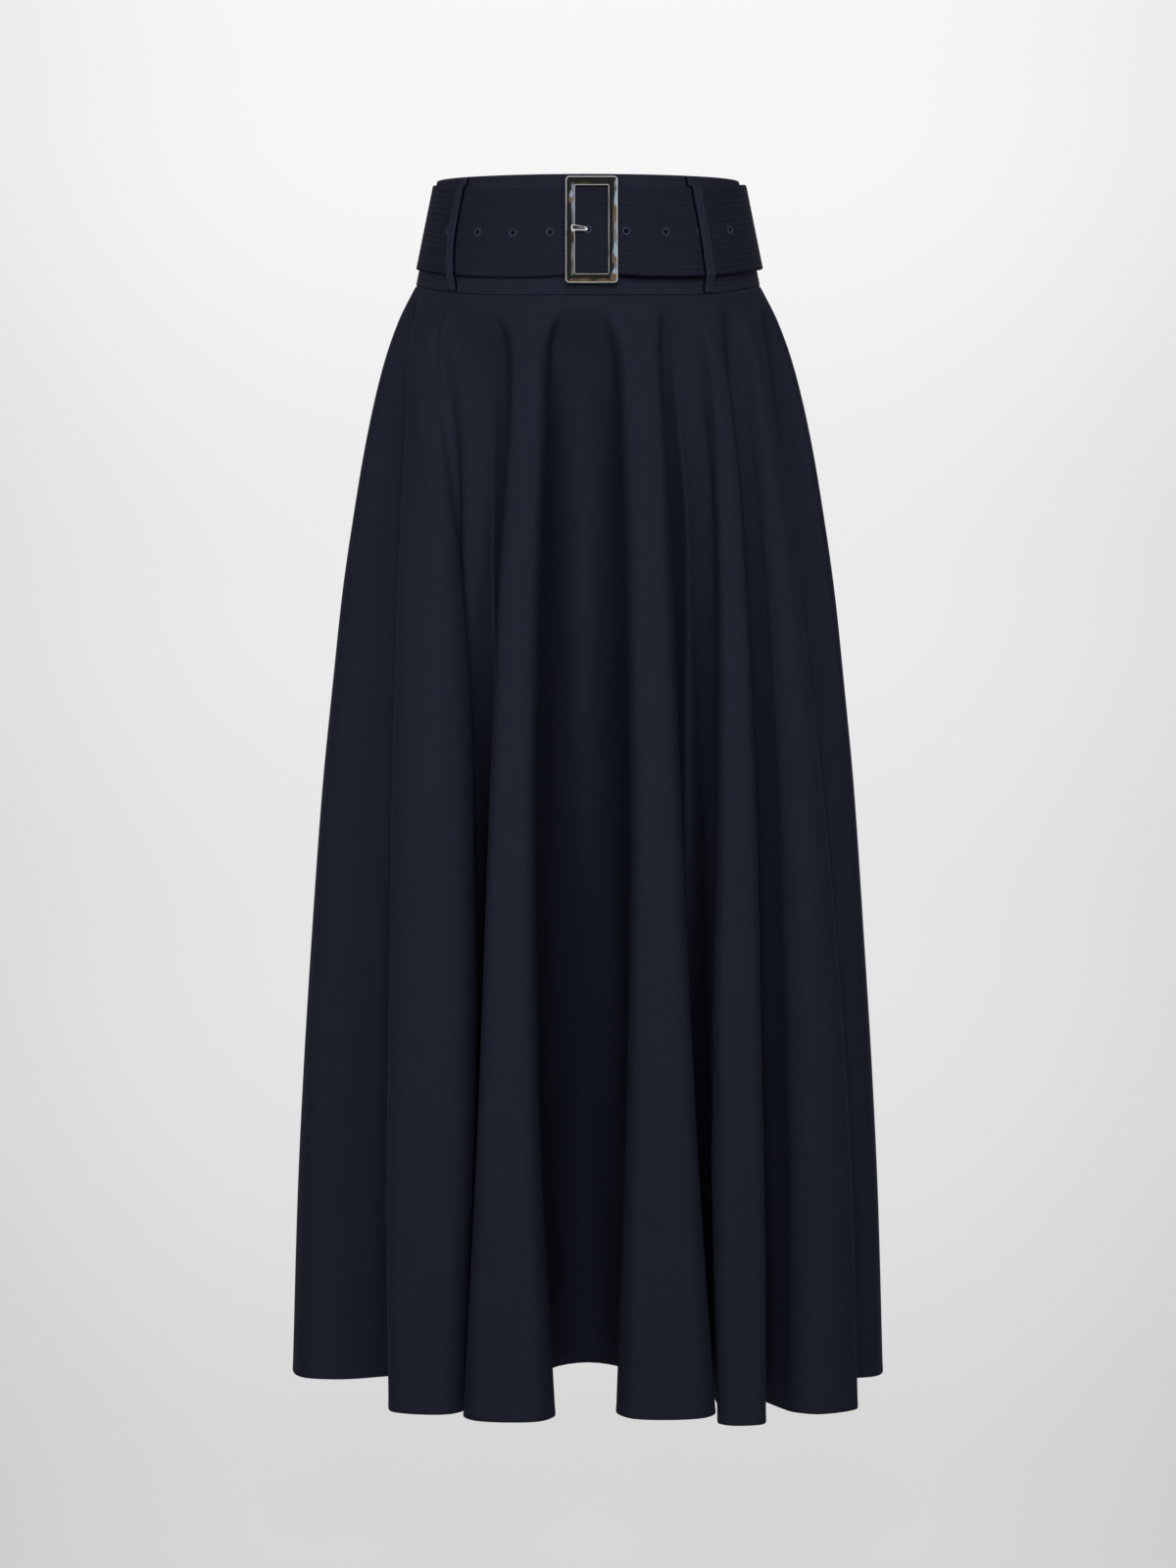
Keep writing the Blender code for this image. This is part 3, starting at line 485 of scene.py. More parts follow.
def lay_stitches(path, out, step, length):
    """Vertices and faces of the stitches along a path; out is the way off the cloth."""
    path, out = np.asarray(path), np.asarray(out)
    run = np.concatenate([[0.0], np.cumsum(np.linalg.norm(np.diff(path, axis=0), axis=1))])
    count = int(run[-1] / step)
    verts, faces = [], []
    for i in range(count):
        start = (i + 0.15) * step
        places = [start, start + 0.22 * length, start + 0.78 * length, start + length]
        p = np.stack([np.interp(places, run, path[:, c]) for c in range(3)], 1)
        o = np.stack([np.interp(places, run, out[:, c]) for c in range(3)], 1)
        way = normed(p[3] - p[0])
        base = len(verts)
        verts.append(p[0] - o[0] * THREAD * 0.5)
        for j in (1, 2):
            side = np.cross(way, o[j])
            for u, w in ((1, 0), (0.5, 0.9), (-0.5, 0.9), (-1, 0)):
                verts.append(p[j] + side * u * THREAD + o[j] * w * THREAD)
        verts.append(p[3] - o[3] * THREAD * 0.5)
        for j in range(4):
            k = (j + 1) % 4
            faces.append((base, base + 1 + k, base + 1 + j))
            faces.append((base + 1 + j, base + 1 + k, base + 5 + k, base + 5 + j))
            faces.append((base + 9, base + 5 + j, base + 5 + k))
    return verts, faces


def stitches(name, rows, step, length, slot):
    """One piece of thread for several stitch rows, each a path and its outward ways."""
    thread = join([lay_stitches(path, out, step, length) for path, out in rows])
    return finish_mesh(name, *thread, thread_mat, slot)


# ---- materials
def feed(tree, made, inputs):
    """Sets a node's inputs: each to a value, or to the output that feeds it."""
    for key, value in inputs.items():
        if isinstance(value, bpy.types.NodeSocket):
            tree.links.new(value, made.inputs[key])
        else:
            made.inputs[key].default_value = value


def node(tree, kind, inputs=(), **settings):
    """A shader node with its settings and its inputs."""
    made = tree.nodes.new("ShaderNode" + kind)
    for key, value in settings.items():
        setattr(made, key, value)
    feed(tree, made, dict(inputs))
    return made


def remap(tree, value, low, high, to_low=0.0, to_high=1.0, soft=True):
    """A value carried from one range to another and kept in it, soft at both ends or straight."""
    kind = "SMOOTHSTEP" if soft else "LINEAR"
    inputs = {"Value": value, "From Min": low, "From Max": high, "To Min": to_low, "To Max": to_high}
    return node(tree, "MapRange", inputs, interpolation_type=kind).outputs["Result"]


def multiply_add(tree, value, factor, addend):
    """value x factor + addend."""
    return node(tree, "Math", {0: value, 1: factor, 2: addend}, operation="MULTIPLY_ADD").outputs[0]


def tones(tree, factor, colour, spread):
    """A colour between a darker and a lighter tone of itself."""
    dark, light = ((*[c * (1 + part) for c in colour], 1) for part in (-spread, spread))
    mix = node(tree, "Mix", {}, data_type="RGBA")
    feed(tree, mix, {"Factor": factor, "A": dark, "B": light})
    return mix.outputs["Result"]


def new_material(name, inputs):
    """A material, its node tree and its shader."""
    mat = bpy.data.materials.new(name)
    mat.use_nodes = True
    shader = mat.node_tree.nodes["Principled BSDF"]
    feed(mat.node_tree, shader, inputs)
    return mat, mat.node_tree, shader


def raise_surface(tree, shader, height, strength, distance):
    """Bump on a shader from a height."""
    bump = node(tree, "Bump", {"Strength": strength, "Distance": distance, "Height": height})
    feed(tree, shader, {"Normal": bump.outputs["Normal"]})


def cloth_material(name, tone, shaded=False):
    """Fine twill: ribs at a slope over the cut cloth (UV in metres), fuzz, soft mottling.

    Its colour is the navy times a tone. A shaded cloth gets a painted shade from its mesh's own values
    where another piece covers it."""
    mat, tree, shader = new_material(name, {"Roughness": 0.82, "Specular IOR Level": 0.05})
    flat = node(tree, "TexCoord").outputs["UV"]
    turned = node(tree, "Mapping", {"Vector": flat, "Rotation": (0, 0, math.radians(RIB_SLOPE))})
    rib = node(tree, "TexWave", {
        "Vector": turned.outputs["Vector"], "Scale": WAVE_SCALE / RIB_PITCH,
        "Distortion": 0.6, "Detail": 1.0, "Detail Scale": 1.5,
    })
    yarn_scale = WAVE_SCALE / (RIB_PITCH * 0.62)
    yarn = node(tree, "TexWave", {"Vector": flat, "Scale": yarn_scale}, bands_direction="Y")
    fuzz = node(tree, "TexNoise", {"Vector": flat, "Scale": 2600.0, "Detail": 2.0})
    mottle = node(tree, "TexNoise", {"Vector": flat, "Scale": 38.0, "Detail": 4.0})
    weave = multiply_add(tree, yarn.outputs["Fac"], 0.30, rib.outputs["Fac"])
    patchy = multiply_add(tree, mottle.outputs["Fac"], 0.5, 0.06)
    lightness = multiply_add(tree, weave, 0.28, patchy)
    painted = tones(tree, lightness, [tone * c for c in NAVY], 0.20)
    # painted shade: the mesh's shade values darken the colour where another piece covers the cloth
    if shaded:
        cover = node(tree, "Attribute", attribute_name="shade").outputs["Fac"]
        painted = node(tree, "VectorMath", {0: painted, "Scale": cover}, operation="SCALE").outputs[0]
    feed(tree, shader, {"Base Color": painted})
    raise_surface(tree, shader, multiply_add(tree, fuzz.outputs["Fac"], 0.45, weave), 0.35, 0.00012)
    return mat


def thread_material(name, colour):
    """Spun thread: a fine twist in colour and bump."""
    mat, tree, shader = new_material(name, {"Roughness": 0.6, "Specular IOR Level": 0.3})
    place = node(tree, "TexCoord").outputs["Object"]
    twist = node(tree, "TexNoise", {"Vector": place, "Scale": 1800.0, "Detail": 2.0}).outputs["Fac"]
    feed(tree, shader, {"Base Color": tones(tree, twist, colour, 0.25)})
    raise_surface(tree, shader, twist, 0.3, 0.0001)
    return mat


def metal_material(name, colour, rough, waves=()):
    """Polished plated metal with faint handling marks and soft waves in its face."""
    mat, tree, shader = new_material(name, {"Base Color": (*colour, 1), "Metallic": 1.0})
    place = node(tree, "TexCoord").outputs["Object"]
    marks = node(tree, "TexNoise", {"Vector": place, "Scale": 420.0, "Detail": 5.0}).outputs["Fac"]
    slow = node(tree, "TexNoise", {"Vector": place, "Scale": 55.0, "Detail": 1.0}).outputs["Fac"]
    feed(tree, shader, {"Roughness": remap(tree, marks, 0.0, 1.0, 0.8 * rough, 1.2 * rough, soft=False)})
    height = node(tree, "Math", {0: slow, 1: 0.0003}, operation="MULTIPLY").outputs[0]
    for x, w, radius, stretch, rise in waves:
        middle = at_buckle(BUCKLE_X + x / 1000, w / 1000, FRAME_FRONT)
        off = node(tree, "VectorMath", {0: place, 1: middle}, operation="SUBTRACT").outputs[0]
        off = node(tree, "VectorMath", {0: off, 1: (1.0, 1.0, stretch)}, operation="MULTIPLY").outputs[0]
        far = node(tree, "VectorMath", {0: off}, operation="LENGTH").outputs["Value"]
        wave = remap(tree, far, 0.0, radius / 1000, rise / 1000, 0.0)
        height = node(tree, "Math", {0: wave, 1: height}, operation="ADD").outputs[0]
    raise_surface(tree, shader, height, 1.0, 1.0)
    return mat


cloth_mat = cloth_material("navy_twill", 1.0)
# the band and the belt carry a painted shade where other pieces cover them
band_mat = cloth_material("navy_twill_band", 1.06, shaded=True)
belt_mat = cloth_material("navy_twill_belt", 0.84, shaded=True)
# Painted light: the loops are the same navy painted lighter, so they read as lit strips standing off the
# belt
loop_mat = cloth_material("navy_twill_loops", 1.30)
# Painted shade: a near-black copy of the navy for the loops' rim faces, standing in for the shade in the
# gap beside each loop
edge_shade_mat = cloth_material("navy_twill_edge_painted_shade", 0.20)
thread_mat = thread_material("navy_thread", (0.0190, 0.0208, 0.0350))
eyelet_mat = thread_material("eyelet_thread", (0.032, 0.034, 0.070))
# Painted shade: a near-black thread colour for the faces down the eyelet holes
hole_shade_mat = thread_material("eyelet_hole_painted_shade", (0.002, 0.002, 0.003))
prong_mat = metal_material("satin_metal", (0.86, 0.86, 0.87), 0.24)


# ---- skirt
K = 4                       # columns in each span of a fold
# Rows of the cloth: share of the way down, outside lift (mm), thickness (mm)
row_table = [(mm / 1000 / FALL, lift, CLOTH) for mm, lift in SEAM_ROWS]
row_table += [(v, 0.0, CLOTH) for v in np.linspace(0.016, 0.984, 150)]
row_table += [(1 - mm / 1000 / FALL, lift, thick) for mm, lift, thick in HEM_ROWS]
outside = np.array([cloth_ring(v, K, lift / 1000) for v, lift, _ in row_table])
inside = np.array([
    ring - sideways(ring) * (thick / 1000) for ring, (_, _, thick) in zip(outside, row_table)
])
sideways_grid = np.array([sideways(r) for r in outside])
per_fold = SPANS * K
left_seam, right_seam = 3 * K, 6 * per_fold + 3 * K
back_seam = 9 * per_fold + 8 * K
left_again = left_seam + len(FOLDS) * per_fold


def panel_columns(rings, first, last):
    """The panel's columns, with two close to each seam where the cloth dips into it."""
    n = rings.shape[1]
    grid = rings[:, [k % n for k in range(first, last + 1)]]
    out = sideways_grid[:, [k % n for k in range(first, last + 1)]]
    ends = []
    for edge, nxt in ((0, 1), (-1, -2)):
        way = grid[:, nxt] - grid[:, edge]
        way /= np.linalg.norm(way, axis=1, keepdims=True)
        ends.append([
            grid[:, edge] + way * mm / 1000 - out[:, edge] * dip / 1000
            for mm, dip in ((0.0, 0.9), (0.6, 0.5), (1.4, 0.05))
        ])
    columns = ends[0] + [grid[:, c] for c in range(1, grid.shape[1] - 1)] + ends[1][::-1]
    return np.stack(columns, 1)


def cut_places(grid, share0, share1):
    """Places on the flat cut: its sector is laid out round the middle of the circle."""
    run = np.linalg.norm(np.diff(grid, axis=1), axis=2)
    run = np.concatenate([np.zeros((len(grid), 1)), np.cumsum(run, 1)], 1)
    share = share0 + (share1 - share0) * run / run[:, -1:]
    v = np.array([row[0] for row in row_table])[:, None]
    r, turn = CUT_RADIUS + CUT_LENGTH * v, (share - 0.25) * SECTOR
    return np.stack([r * np.sin(turn), -r * np.cos(turn)], 2)


# Name, solid, first and last column, first and last share of the cut, flat size (m), area (m2)
PANELS = (
    ("front_cloth", "skirt_front", left_seam, right_seam, 0.0, 0.5, (1.93, 1.00), 1.25),
    ("back_right_cloth", "skirt_back_right", right_seam, back_seam, 0.5, 0.75, (1.14, 0.93), 0.63),
    ("back_left_cloth", "skirt_back_left", back_seam, left_again, 0.75, 1.0, (1.14, 0.93), 0.63),
)
for name, replaced, first, last, share0, share1, flat, area in PANELS:
    grid = panel_columns(outside, first, last)
    lining = panel_columns(inside, first, last)
    piece = shell(name, grid, lining, cut_places(grid, share0, share1), cloth_mat, "cloth")
    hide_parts(replaced)

stitch_row = [mm for mm, _, _ in HEM_ROWS].index(6.2) - len(HEM_ROWS)
hem_line = [np.vstack([grid[stitch_row], grid[stitch_row][:1]]) for grid in (outside, sideways_grid)]
hem_thread = stitches("hem_thread", [hem_line], 0.0034, 0.0026, "cloth")


# ---- waistband
# How much its front leans back
LEAN = math.atan2(OUTLINE[0][2] - BAND_TOP[1], BAND_TOP_Z - (SEAM_Z - SEAM_DIP))


def on_band(deg, z, lift, lean=LEAN):
    """Point at a height on the waistband, lifted squarely off its outside."""
    s, c = unit(deg)
    f = (BAND_TOP_Z - z) / (BAND_TOP_Z - float(seam_height(c)))
    a = BAND_TOP[0] + (OUTLINE[0][1] - BAND_TOP[0]) * f
    b = BAND_TOP[1] + (OUTLINE[0][2] - BAND_TOP[1]) * f
    n = np.array([s / a, c / b])
    n *= lift * math.cos(lean) / np.linalg.norm(n)
    return np.array([a * s + n[0], -(b * c + n[1]), z + lift * math.sin(lean)])


def off_band(deg, z):
    """The way squarely off the waistband."""
    return normed(on_band(deg, z, 0.01) - on_band(deg, z, 0.0))


def low_edge(deg):
    """Height of the waistband's lower edge."""
    return float(seam_height(unit(deg)[1])) + SEAM_GAP


def front_x(deg, z):
    """The waistband's x at a point of its front; far away on its back."""
    return on_band(deg, z, 0.0)[0] if unit(deg)[1] > 0 else FAR


def stitched_profile(width, rows, groove, round_off):
    """Places across a stitched strip (m from its top edge) and the outside's lift there."""
    places = [(0.0, -round_off), (0.0002, -0.45 * round_off), (0.0006, -0.1 * round_off)]
    for row in rows:
        places += [(row - 0.0007, -0.15 * groove), (row - 0.00025, -groove)]
        places += [(row + 0.00025, -groove), (row + 0.0007, -0.15 * groove), (row + 0.0020, 0.0)]
    places = [p for p in places if p[0] < width - 0.0008]
    return places + [
        (width - 0.0006, -0.1 * round_off), (width - 0.0002, -0.45 * round_off), (width, -round_off),
    ]


def belt_edges(deg, x):
    """Heights of the belt's edges; it is squeezed a little in the buckle."""
    front = 0.5 * (1 - math.cos(math.pi * max(0.0, unit(deg)[1])))
    squeeze = 1 - float(ease(abs(x - BUCKLE_X), 0.018, 0.045))
    top = BELT_Z[0] - BELT_DIP[0] * front - 0.0003 * squeeze
    return top, BELT_Z[1] - BELT_DIP[1] * front + 0.0014 * squeeze


def band_rows(deg):
    """Heights of the stitch rows on the waistband."""
    low = low_edge(deg)
    return [BAND_TOP_Z - down for down in BAND_ROWS_TOP] + [low + up for up in BAND_ROWS_LOW]


def under_belt(deg, z):
    """How light the waistband is painted: a painted shade under the belt, fading out below its lower edge.

    The fade reaches furthest down right of the buckle, where the belt stands off."""
    x = front_x(deg, z)
    top, low = belt_edges(deg, x)
    fade = 0.0022 + 0.0040 * float(ease(x, 0.020, 0.032) * (1 - ease(x, 0.080, 0.100)))
    covered = float((1 - ease(z, top - 0.0008, top + 0.0006)) * ease(z, low - fade, low + 0.0004))
    return 1.0 - (1.0 - UNDER_BELT) * covered


def band_grids(first, last, columns):
    """Outside and inside of a part of the waistband, its flat places, and how light it is painted (its
    painted shade under the belt).
    """
    outer, inner, flat, light = [], [], [], []
    for deg in np.linspace(first, last, columns):
        low = low_edge(deg)
        width = BAND_TOP_Z - low
        rows = sorted(BAND_TOP_Z - z for z in band_rows(deg))
        near_end = math.radians(min(deg - first, last - deg)) * BAND_RADIUS
        dip = 0.0006 * math.exp(-(near_end / 0.0008) ** 2)
        profile = stitched_profile(width, rows, GROOVES[0], ROUNDED[0])
        places, lifts = zip(*profile)
        # extra rows round the belt's edges, where the painted shade under the belt changes
        belt_top, belt_low = (BAND_TOP_Z - z for z in belt_edges(deg, front_x(deg, low)))
        extra = [belt_top + down for down in (-0.0006, 0.0008)]
        extra += [belt_low + down for down in (-0.0004, 0.0006, 0.0014, 0.0022, 0.0040, 0.0062)]
        for place in np.minimum(extra, width - 0.0008):
            profile.append((place, float(np.interp(place, places, lifts))))
        profile.sort()
        outer.append([on_band(deg, BAND_TOP_Z - y, lift - dip, 0.0) for y, lift in profile])
        inner.append([
            on_band(deg, BAND_TOP_Z - y, min(lift - 0.0022, -0.0014) if lift < -0.0003 else -BAND, 0.0)
            for y, lift in profile
        ])
        flat.append([(math.radians(deg) * BAND_RADIUS, -y) for y, _ in profile])
        light.append([under_belt(deg, BAND_TOP_Z - y) for y, _ in profile])
    grids = [np.array(g).transpose(1, 0, 2) for g in (outer, inner, flat)]
    return grids, np.array(light).T.ravel()


band_stitch_rows = []
for name, replaced, first, last in (
    ("band_front_cloth", "waistband_front", -90, 90),
    ("band_back_right_cloth", "waistband_back_right", 90, 180),
    ("band_back_left_cloth", "waistband_back_left", 180, 270),
):
    grids, lightness = band_grids(first, last, last - first + 1)
    piece = shell(name, *grids, band_mat, "band")
    # painted shade: the waistband is painted dark under the belt and just below it
    paint_shade(piece, np.tile(lightness, 2))
    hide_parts(replaced)
degs = np.linspace(0, 360, 721)
for row in range(len(BAND_ROWS_TOP + BAND_ROWS_LOW)):
    band_stitch_rows.append((
        [on_band(d, band_rows(d)[row], -0.00018) for d in degs],
        [off_band(d, band_rows(d)[row]) for d in degs],
    ))
stitches("band_thread", band_stitch_rows, 0.0030, 0.0024, "band")


# ---- belt
def front_deg(x):
    """Degrees from the front at which the waistband passes x, at the buckle's height."""
    low, high = -89.0, 89.0
    for _ in range(40):
        mid = 0.5 * (low + high)
        if on_band(mid, BUCKLE_Z, 0.0)[0] < x:
            low = mid
        else:
            high = mid
    return low


def belt_lift(x):
    """Lift of the belt's inner face where it passes the buckle."""
    lift = BELT_LIFT + (BELT_OVER_BAR - BELT_LIFT) * float(ease(x, -0.024, 0.0))
    if x > 0.007:
        lift -= (BELT_OVER_BAR - BELT - 2 * BELT_LIFT) * float(ease(x, 0.007, 0.0225))
    return lift


def belt_path():
    """Rows of (degrees, x on the front or far away, lift of the inner face)."""
    path = []
    for deg in np.linspace(front_deg(BUCKLE_X + 0.012), 360 - 24, 250):
        path.append((deg, FAR, BELT_LIFT))
    for x in np.linspace(-0.040, 0.036, 58):
        path.append((360 + front_deg(x), x, belt_lift(x)))
    for deg in np.linspace(front_deg(0.036), TAIL_END, 72)[1:]:
        path.append((360 + deg, FAR, BELT + 2 * BELT_LIFT))
    return path


def pin_curl():
    """The belt's fixed end turned round the centre bar: centre line (x, n), thickness."""
    cx, cn, hx, hn = BUCKLE_X, PIN_N, PIN_X[0], PIN_X[1]
    thin = 0.0010
    r = hn + 0.0003 + thin / 2
    left = cx - hx * 0.8
    pts = [(cx + 0.0034, cn + r, thin), (cx + 0.0015, cn + r, thin), (left, cn + r, thin)]
    for k in range(1, 6):
        t = math.pi * k / 6
        pts.append((left - math.sin(t) * r, cn + math.cos(t) * r, thin))
    pts += [(left, cn - r, thin), (cx + 0.0030, cn - r - 0.0001, 0.0011)]
    return pts + [(cx + 0.0070, 0.0017, 0.0015)]


FRONT = on_band(front_deg(BUCKLE_X), BUCKLE_Z, 0.0)


def at_buckle(x, w, n):
    """A point from the buckle's own plane."""
    return np.array([
        x,
        FRONT[1] + w * math.sin(LEAN) - n * math.cos(LEAN),
        FRONT[2] + w * math.cos(LEAN) + n * math.sin(LEAN),
    ])


BELT_PROFILE = stitched_profile(BELT_WIDE, BELT_ROWS, GROOVES[1], ROUNDED[1])


def belt_point(deg, x, lift, y, raised):
    """A point on the belt, y from its top edge on the flat, raised off its outside."""
    top, low = belt_edges(deg, x)
    past = (deg - 360 - TAIL_END) / TAIL_ROUND + 1
    if past > 0:
        narrow = 0.010 * (1 - math.sqrt(max(0.0, 1 - past * past)))
        top, low = top - narrow, low + narrow
    z = top + (low - top) * y / BELT_WIDE
    return on_band(deg, z, lift + BELT + raised)


def belt_grids():
    """Outside and inside of the belt from its turned end to its tail, and its flat places."""
    outer, inner, flat = [], [], []
    curl = pin_curl()
    half = 0.0352
    for k, (x, n, thick) in enumerate(curl):
        a, b = curl[max(k - 1, 0)], curl[min(k + 1, len(curl) - 1)]
        way = normed(np.array([b[0] - a[0], b[1] - a[1]]))
        side = np.array([-way[1], way[0]]) * thick / 2
        places = [(half * (1 - 2 * y / BELT_WIDE), 0.3 * lift) for y, lift in BELT_PROFILE]
        outer.append([at_buckle(x + side[0], w, n + side[1]) for w, _ in places])
        inner.append([at_buckle(x - side[0], w, n - side[1]) for w, _ in places])
        flat.append([(0.002 * k, -y) for y, _ in BELT_PROFILE])
    path = belt_path()
    run = flat[-1][0][0]
    last = None
    for deg, x, lift in path:
        here = belt_point(deg, x, lift, BELT_WIDE / 2, 0.0)
        run += 0.0 if last is None else np.linalg.norm(here - last)
        last = here
        outer.append([belt_point(deg, x, lift, y, up) for y, up in BELT_PROFILE])
        inner.append([
            belt_point(deg, x, lift, y, -BELT - 0.35 * min(up + 0.0003, 0.0)) for y, up in BELT_PROFILE
        ])
        flat.append([(run, -y) for y, _ in BELT_PROFILE])
    return [np.array(g).transpose(1, 0, 2) for g in (outer, inner, flat)]


def on_belt(deg, x, lift, y, raised):
    """Point raised off the belt's outside, and the way off it there."""
    here = belt_point(deg, x, lift, y, raised)
    return here, normed(belt_point(deg, x, lift, y, 0.01) - here)


def cut_with(obj, cutters):
    """Cuts closed meshes out of a piece for good."""
    verts, faces = join(cutters)
    mesh = bpy.data.meshes.new("cutter")
    mesh.from_pydata([tuple(v) for v in verts], [], faces)
    tool = bpy.data.objects.new("cutter", mesh)
    bpy.context.scene.collection.objects.link(tool)
    mod = obj.modifiers.new("cut", "BOOLEAN")
    mod.operation, mod.object, mod.solver = "DIFFERENCE", tool, "EXACT"
    done = bpy.data.meshes.new_from_object(obj.evaluated_get(bpy.context.evaluated_depsgraph_get()))
    obj.modifiers.clear()
    obj.data = done
    bpy.data.objects.remove(tool, do_unlink=True)


def rod(start, end, radius, sides):
    """A closed round bar between two points."""
    way = normed(end - start)
    a = normed(np.cross([0.0, 0.0, 1.0], way))
    b = np.cross(way, a)
    turn = [2 * math.pi * (j + 0.5) / sides for j in range(sides)]
    verts = [p + radius * (math.cos(t) * a + math.sin(t) * b) for p in (start, end) for t in turn]
    return verts, tube_faces(2, sides)


def block(x, w, n):
    """Box in the buckle's plane between pairs of x, w and n."""
    verts = [at_buckle(x[i], w[j], n[k]) for i in (0, 1) for j in (0, 1) for k in (0, 1)]
    return verts, [(0, 1, 3, 2), (4, 6, 7, 5), (0, 4, 5, 1), (2, 3, 7, 6), (0, 2, 6, 4), (1, 5, 7, 3)]


belt = shell("belt_cloth", *belt_grids(), belt_mat, "band")
belt_way = belt_path()
# Painted shade: the belt's inner turn is painted dark where its tail covers it
covered = [False] * len(pin_curl()) + [deg < TAIL_END and lift == BELT_LIFT for deg, _, lift in belt_way]
lightness = np.where(covered, UNDER_TAIL, 1.0)
paint_shade(belt, np.tile(lightness, 2 * len(BELT_PROFILE)))
eyelet_places = []
for x in (mm / 1000 for mm in EYELETS):
    eyelet_places.append(on_belt(360 + front_deg(x), x, belt_lift(x), BELT_WIDE / 2, 0.0))
holes = [rod(p - way * (BELT + 0.0002), p + way * 0.004, HOLE, 20) for p, way in eyelet_places]
# The prong's eye sits in a slot cut into the belt's turned end
slot_box = block((BUCKLE_X - 0.0070, BUCKLE_X + 0.0072), (-0.0024, 0.0024), (0.0001, 0.0064))
cut_with(belt, holes + [slot_box])
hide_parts("belt")

belt_stitch_rows = [
    list(zip(*(on_belt(*place, y, -THREAD) for place in belt_way[:-6]))) for y in BELT_ROWS
]
belt_thread = stitches("belt_thread", belt_stitch_rows, 0.0030, 0.0024, "band")

EYELET_PROFILE = (
    # distance from the middle of the hole, height off the belt (mm)
    (1.80, -2.00), (1.82, 0.00), (2.05, 0.30), (2.50, 0.44), (2.95, 0.36), (3.30, 0.12), (3.42, -0.30),
)


def eyelet_ring(place, way):
    """Buttonhole stitches laid close together round a hole."""
    up = normed(np.array([0.0, 0.0, 1.0]) - way * way[2])
    side = np.cross(up, way)
    verts = []
    turns = 4 * EYELET_STITCHES
    for j in range(turns):
        t = 2 * math.pi * j / turns
        rib = (0.0, 0.10, 0.14, 0.10)[j % 4] - 0.08
        flare = 0.10 * math.sin(7 * t + place[0] * 900)
        for r, h in EYELET_PROFILE:
            r = (r + (flare if r > 3 else 0.0)) / 1000
            h = (h + (rib if h > 0 else 0.0)) / 1000
            verts.append(place + (side * math.cos(t) + up * math.sin(t)) * r + way * h)
    return verts, tube_faces(turns, len(EYELET_PROFILE), closed=True)


rings = join([eyelet_ring(place, way) for place, way in eyelet_places])
eyelets = finish_mesh("eyelet_thread_rings", *rings, eyelet_mat, "band")
# Painted shade: the faces down each hole are painted near black
eyelets.data.materials.append(hole_shade_mat)
for polygon in eyelets.data.polygons:       # the faces down the hole are dark
    place, way = eyelet_places[polygon.index * len(EYELETS) // len(eyelets.data.polygons)]
    if np.dot(np.array(polygon.center) - place, way) < -0.0001:
        polygon.material_index = 1


# ---- buckle
def rounded(half_x, half_w, radius, steps=8):
    """Corners of a rounded rectangle, anticlockwise."""
    pts = []
    for cx, cw, t0 in ((1, 1, 0), (-1, 1, 90), (-1, -1, 180), (1, -1, 270)):
        for k in range(steps + 1):
            t = math.radians(t0 + 90 * k / steps)
            x = cx * (half_x - radius) + radius * math.cos(t)
            pts.append((x, cw * (half_w - radius) + radius * math.sin(t)))
    return pts


def frame_mesh():
    """Flat-faced frame with narrow polished rims on its outer and inner edges."""
    bar, back, front = BUCKLE_BAR, FRAME_BACK, FRAME_FRONT
    profile = (
        # step in from the outer edge, height, corner radius
        (0.0000, back + 0.0005, 0.0032), (0.0000, front - 0.0007, 0.0032),
        (0.0001, front - 0.0004, 0.00315), (0.00025, front - 0.00015, 0.0031),
        (0.00045, front - 0.00002, 0.0029), (0.00065, front, 0.0027),
        (0.00075, front - 0.00010, 0.0026), (0.00085, front - 0.00020, 0.0025),
        (0.0026, front - 0.00015, 0.0020), (bar / 2, front - 0.00012, 0.0017),
        (bar - 0.0026, front - 0.00015, 0.0014), (bar - 0.0007, front - 0.00020, 0.0010),
        (bar - 0.0006, front - 0.00008, 0.0009), (bar - 0.0004, front - 0.00002, 0.0009),
        (bar - 0.0002, front - 0.00020, 0.0008), (bar, front - 0.0007, 0.0007),
        (bar, back + 0.0005, 0.0007), (bar - 0.0005, back, 0.0009), (0.0005, back, 0.0029),
    )
    verts = []
    for step, n, radius in profile:
        shape = rounded(BUCKLE_HALF[0] - step, BUCKLE_HALF[1] - step, radius)
        verts += [at_buckle(BUCKLE_X + x, w, n) for x, w in shape]
    return verts, tube_faces(len(profile), len(shape), closed=True)


def bar_ring(w, grow, sides):
    """Points round the centre bar's oval at height w, some way off its surface."""
    turns = [2 * math.pi * j / sides for j in range(sides)]
    half_x, half_n = PIN_X[0] + grow, PIN_X[1] + grow
    return [
        at_buckle(BUCKLE_X + half_x * math.cos(t), w, PIN_N + half_n * math.sin(t)) for t in turns
    ]


reach = BUCKLE_HALF[1] - BUCKLE_BAR + 0.0036
centre_bar = bar_ring(-reach, 0.0, 16) + bar_ring(reach, 0.0, 16), tube_faces(2, 16)
ends = [
    block((BUCKLE_X - 0.0018, BUCKLE_X + 0.0018), (w0, w1), (PIN_N - 0.0006, FRAME_BACK + 0.0002))
    for w0, w1 in ((reach - 0.0034, reach), (-reach, -reach + 0.0034))
]
metal_mat = metal_material("polished_metal", (0.80, 0.79, 0.76), 0.05, WAVES)
buckle_mesh = join([frame_mesh(), centre_bar] + ends)
buckle = finish_mesh("buckle_frame", *buckle_mesh, metal_mat, "metal", sharp=35)
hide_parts("buckle")


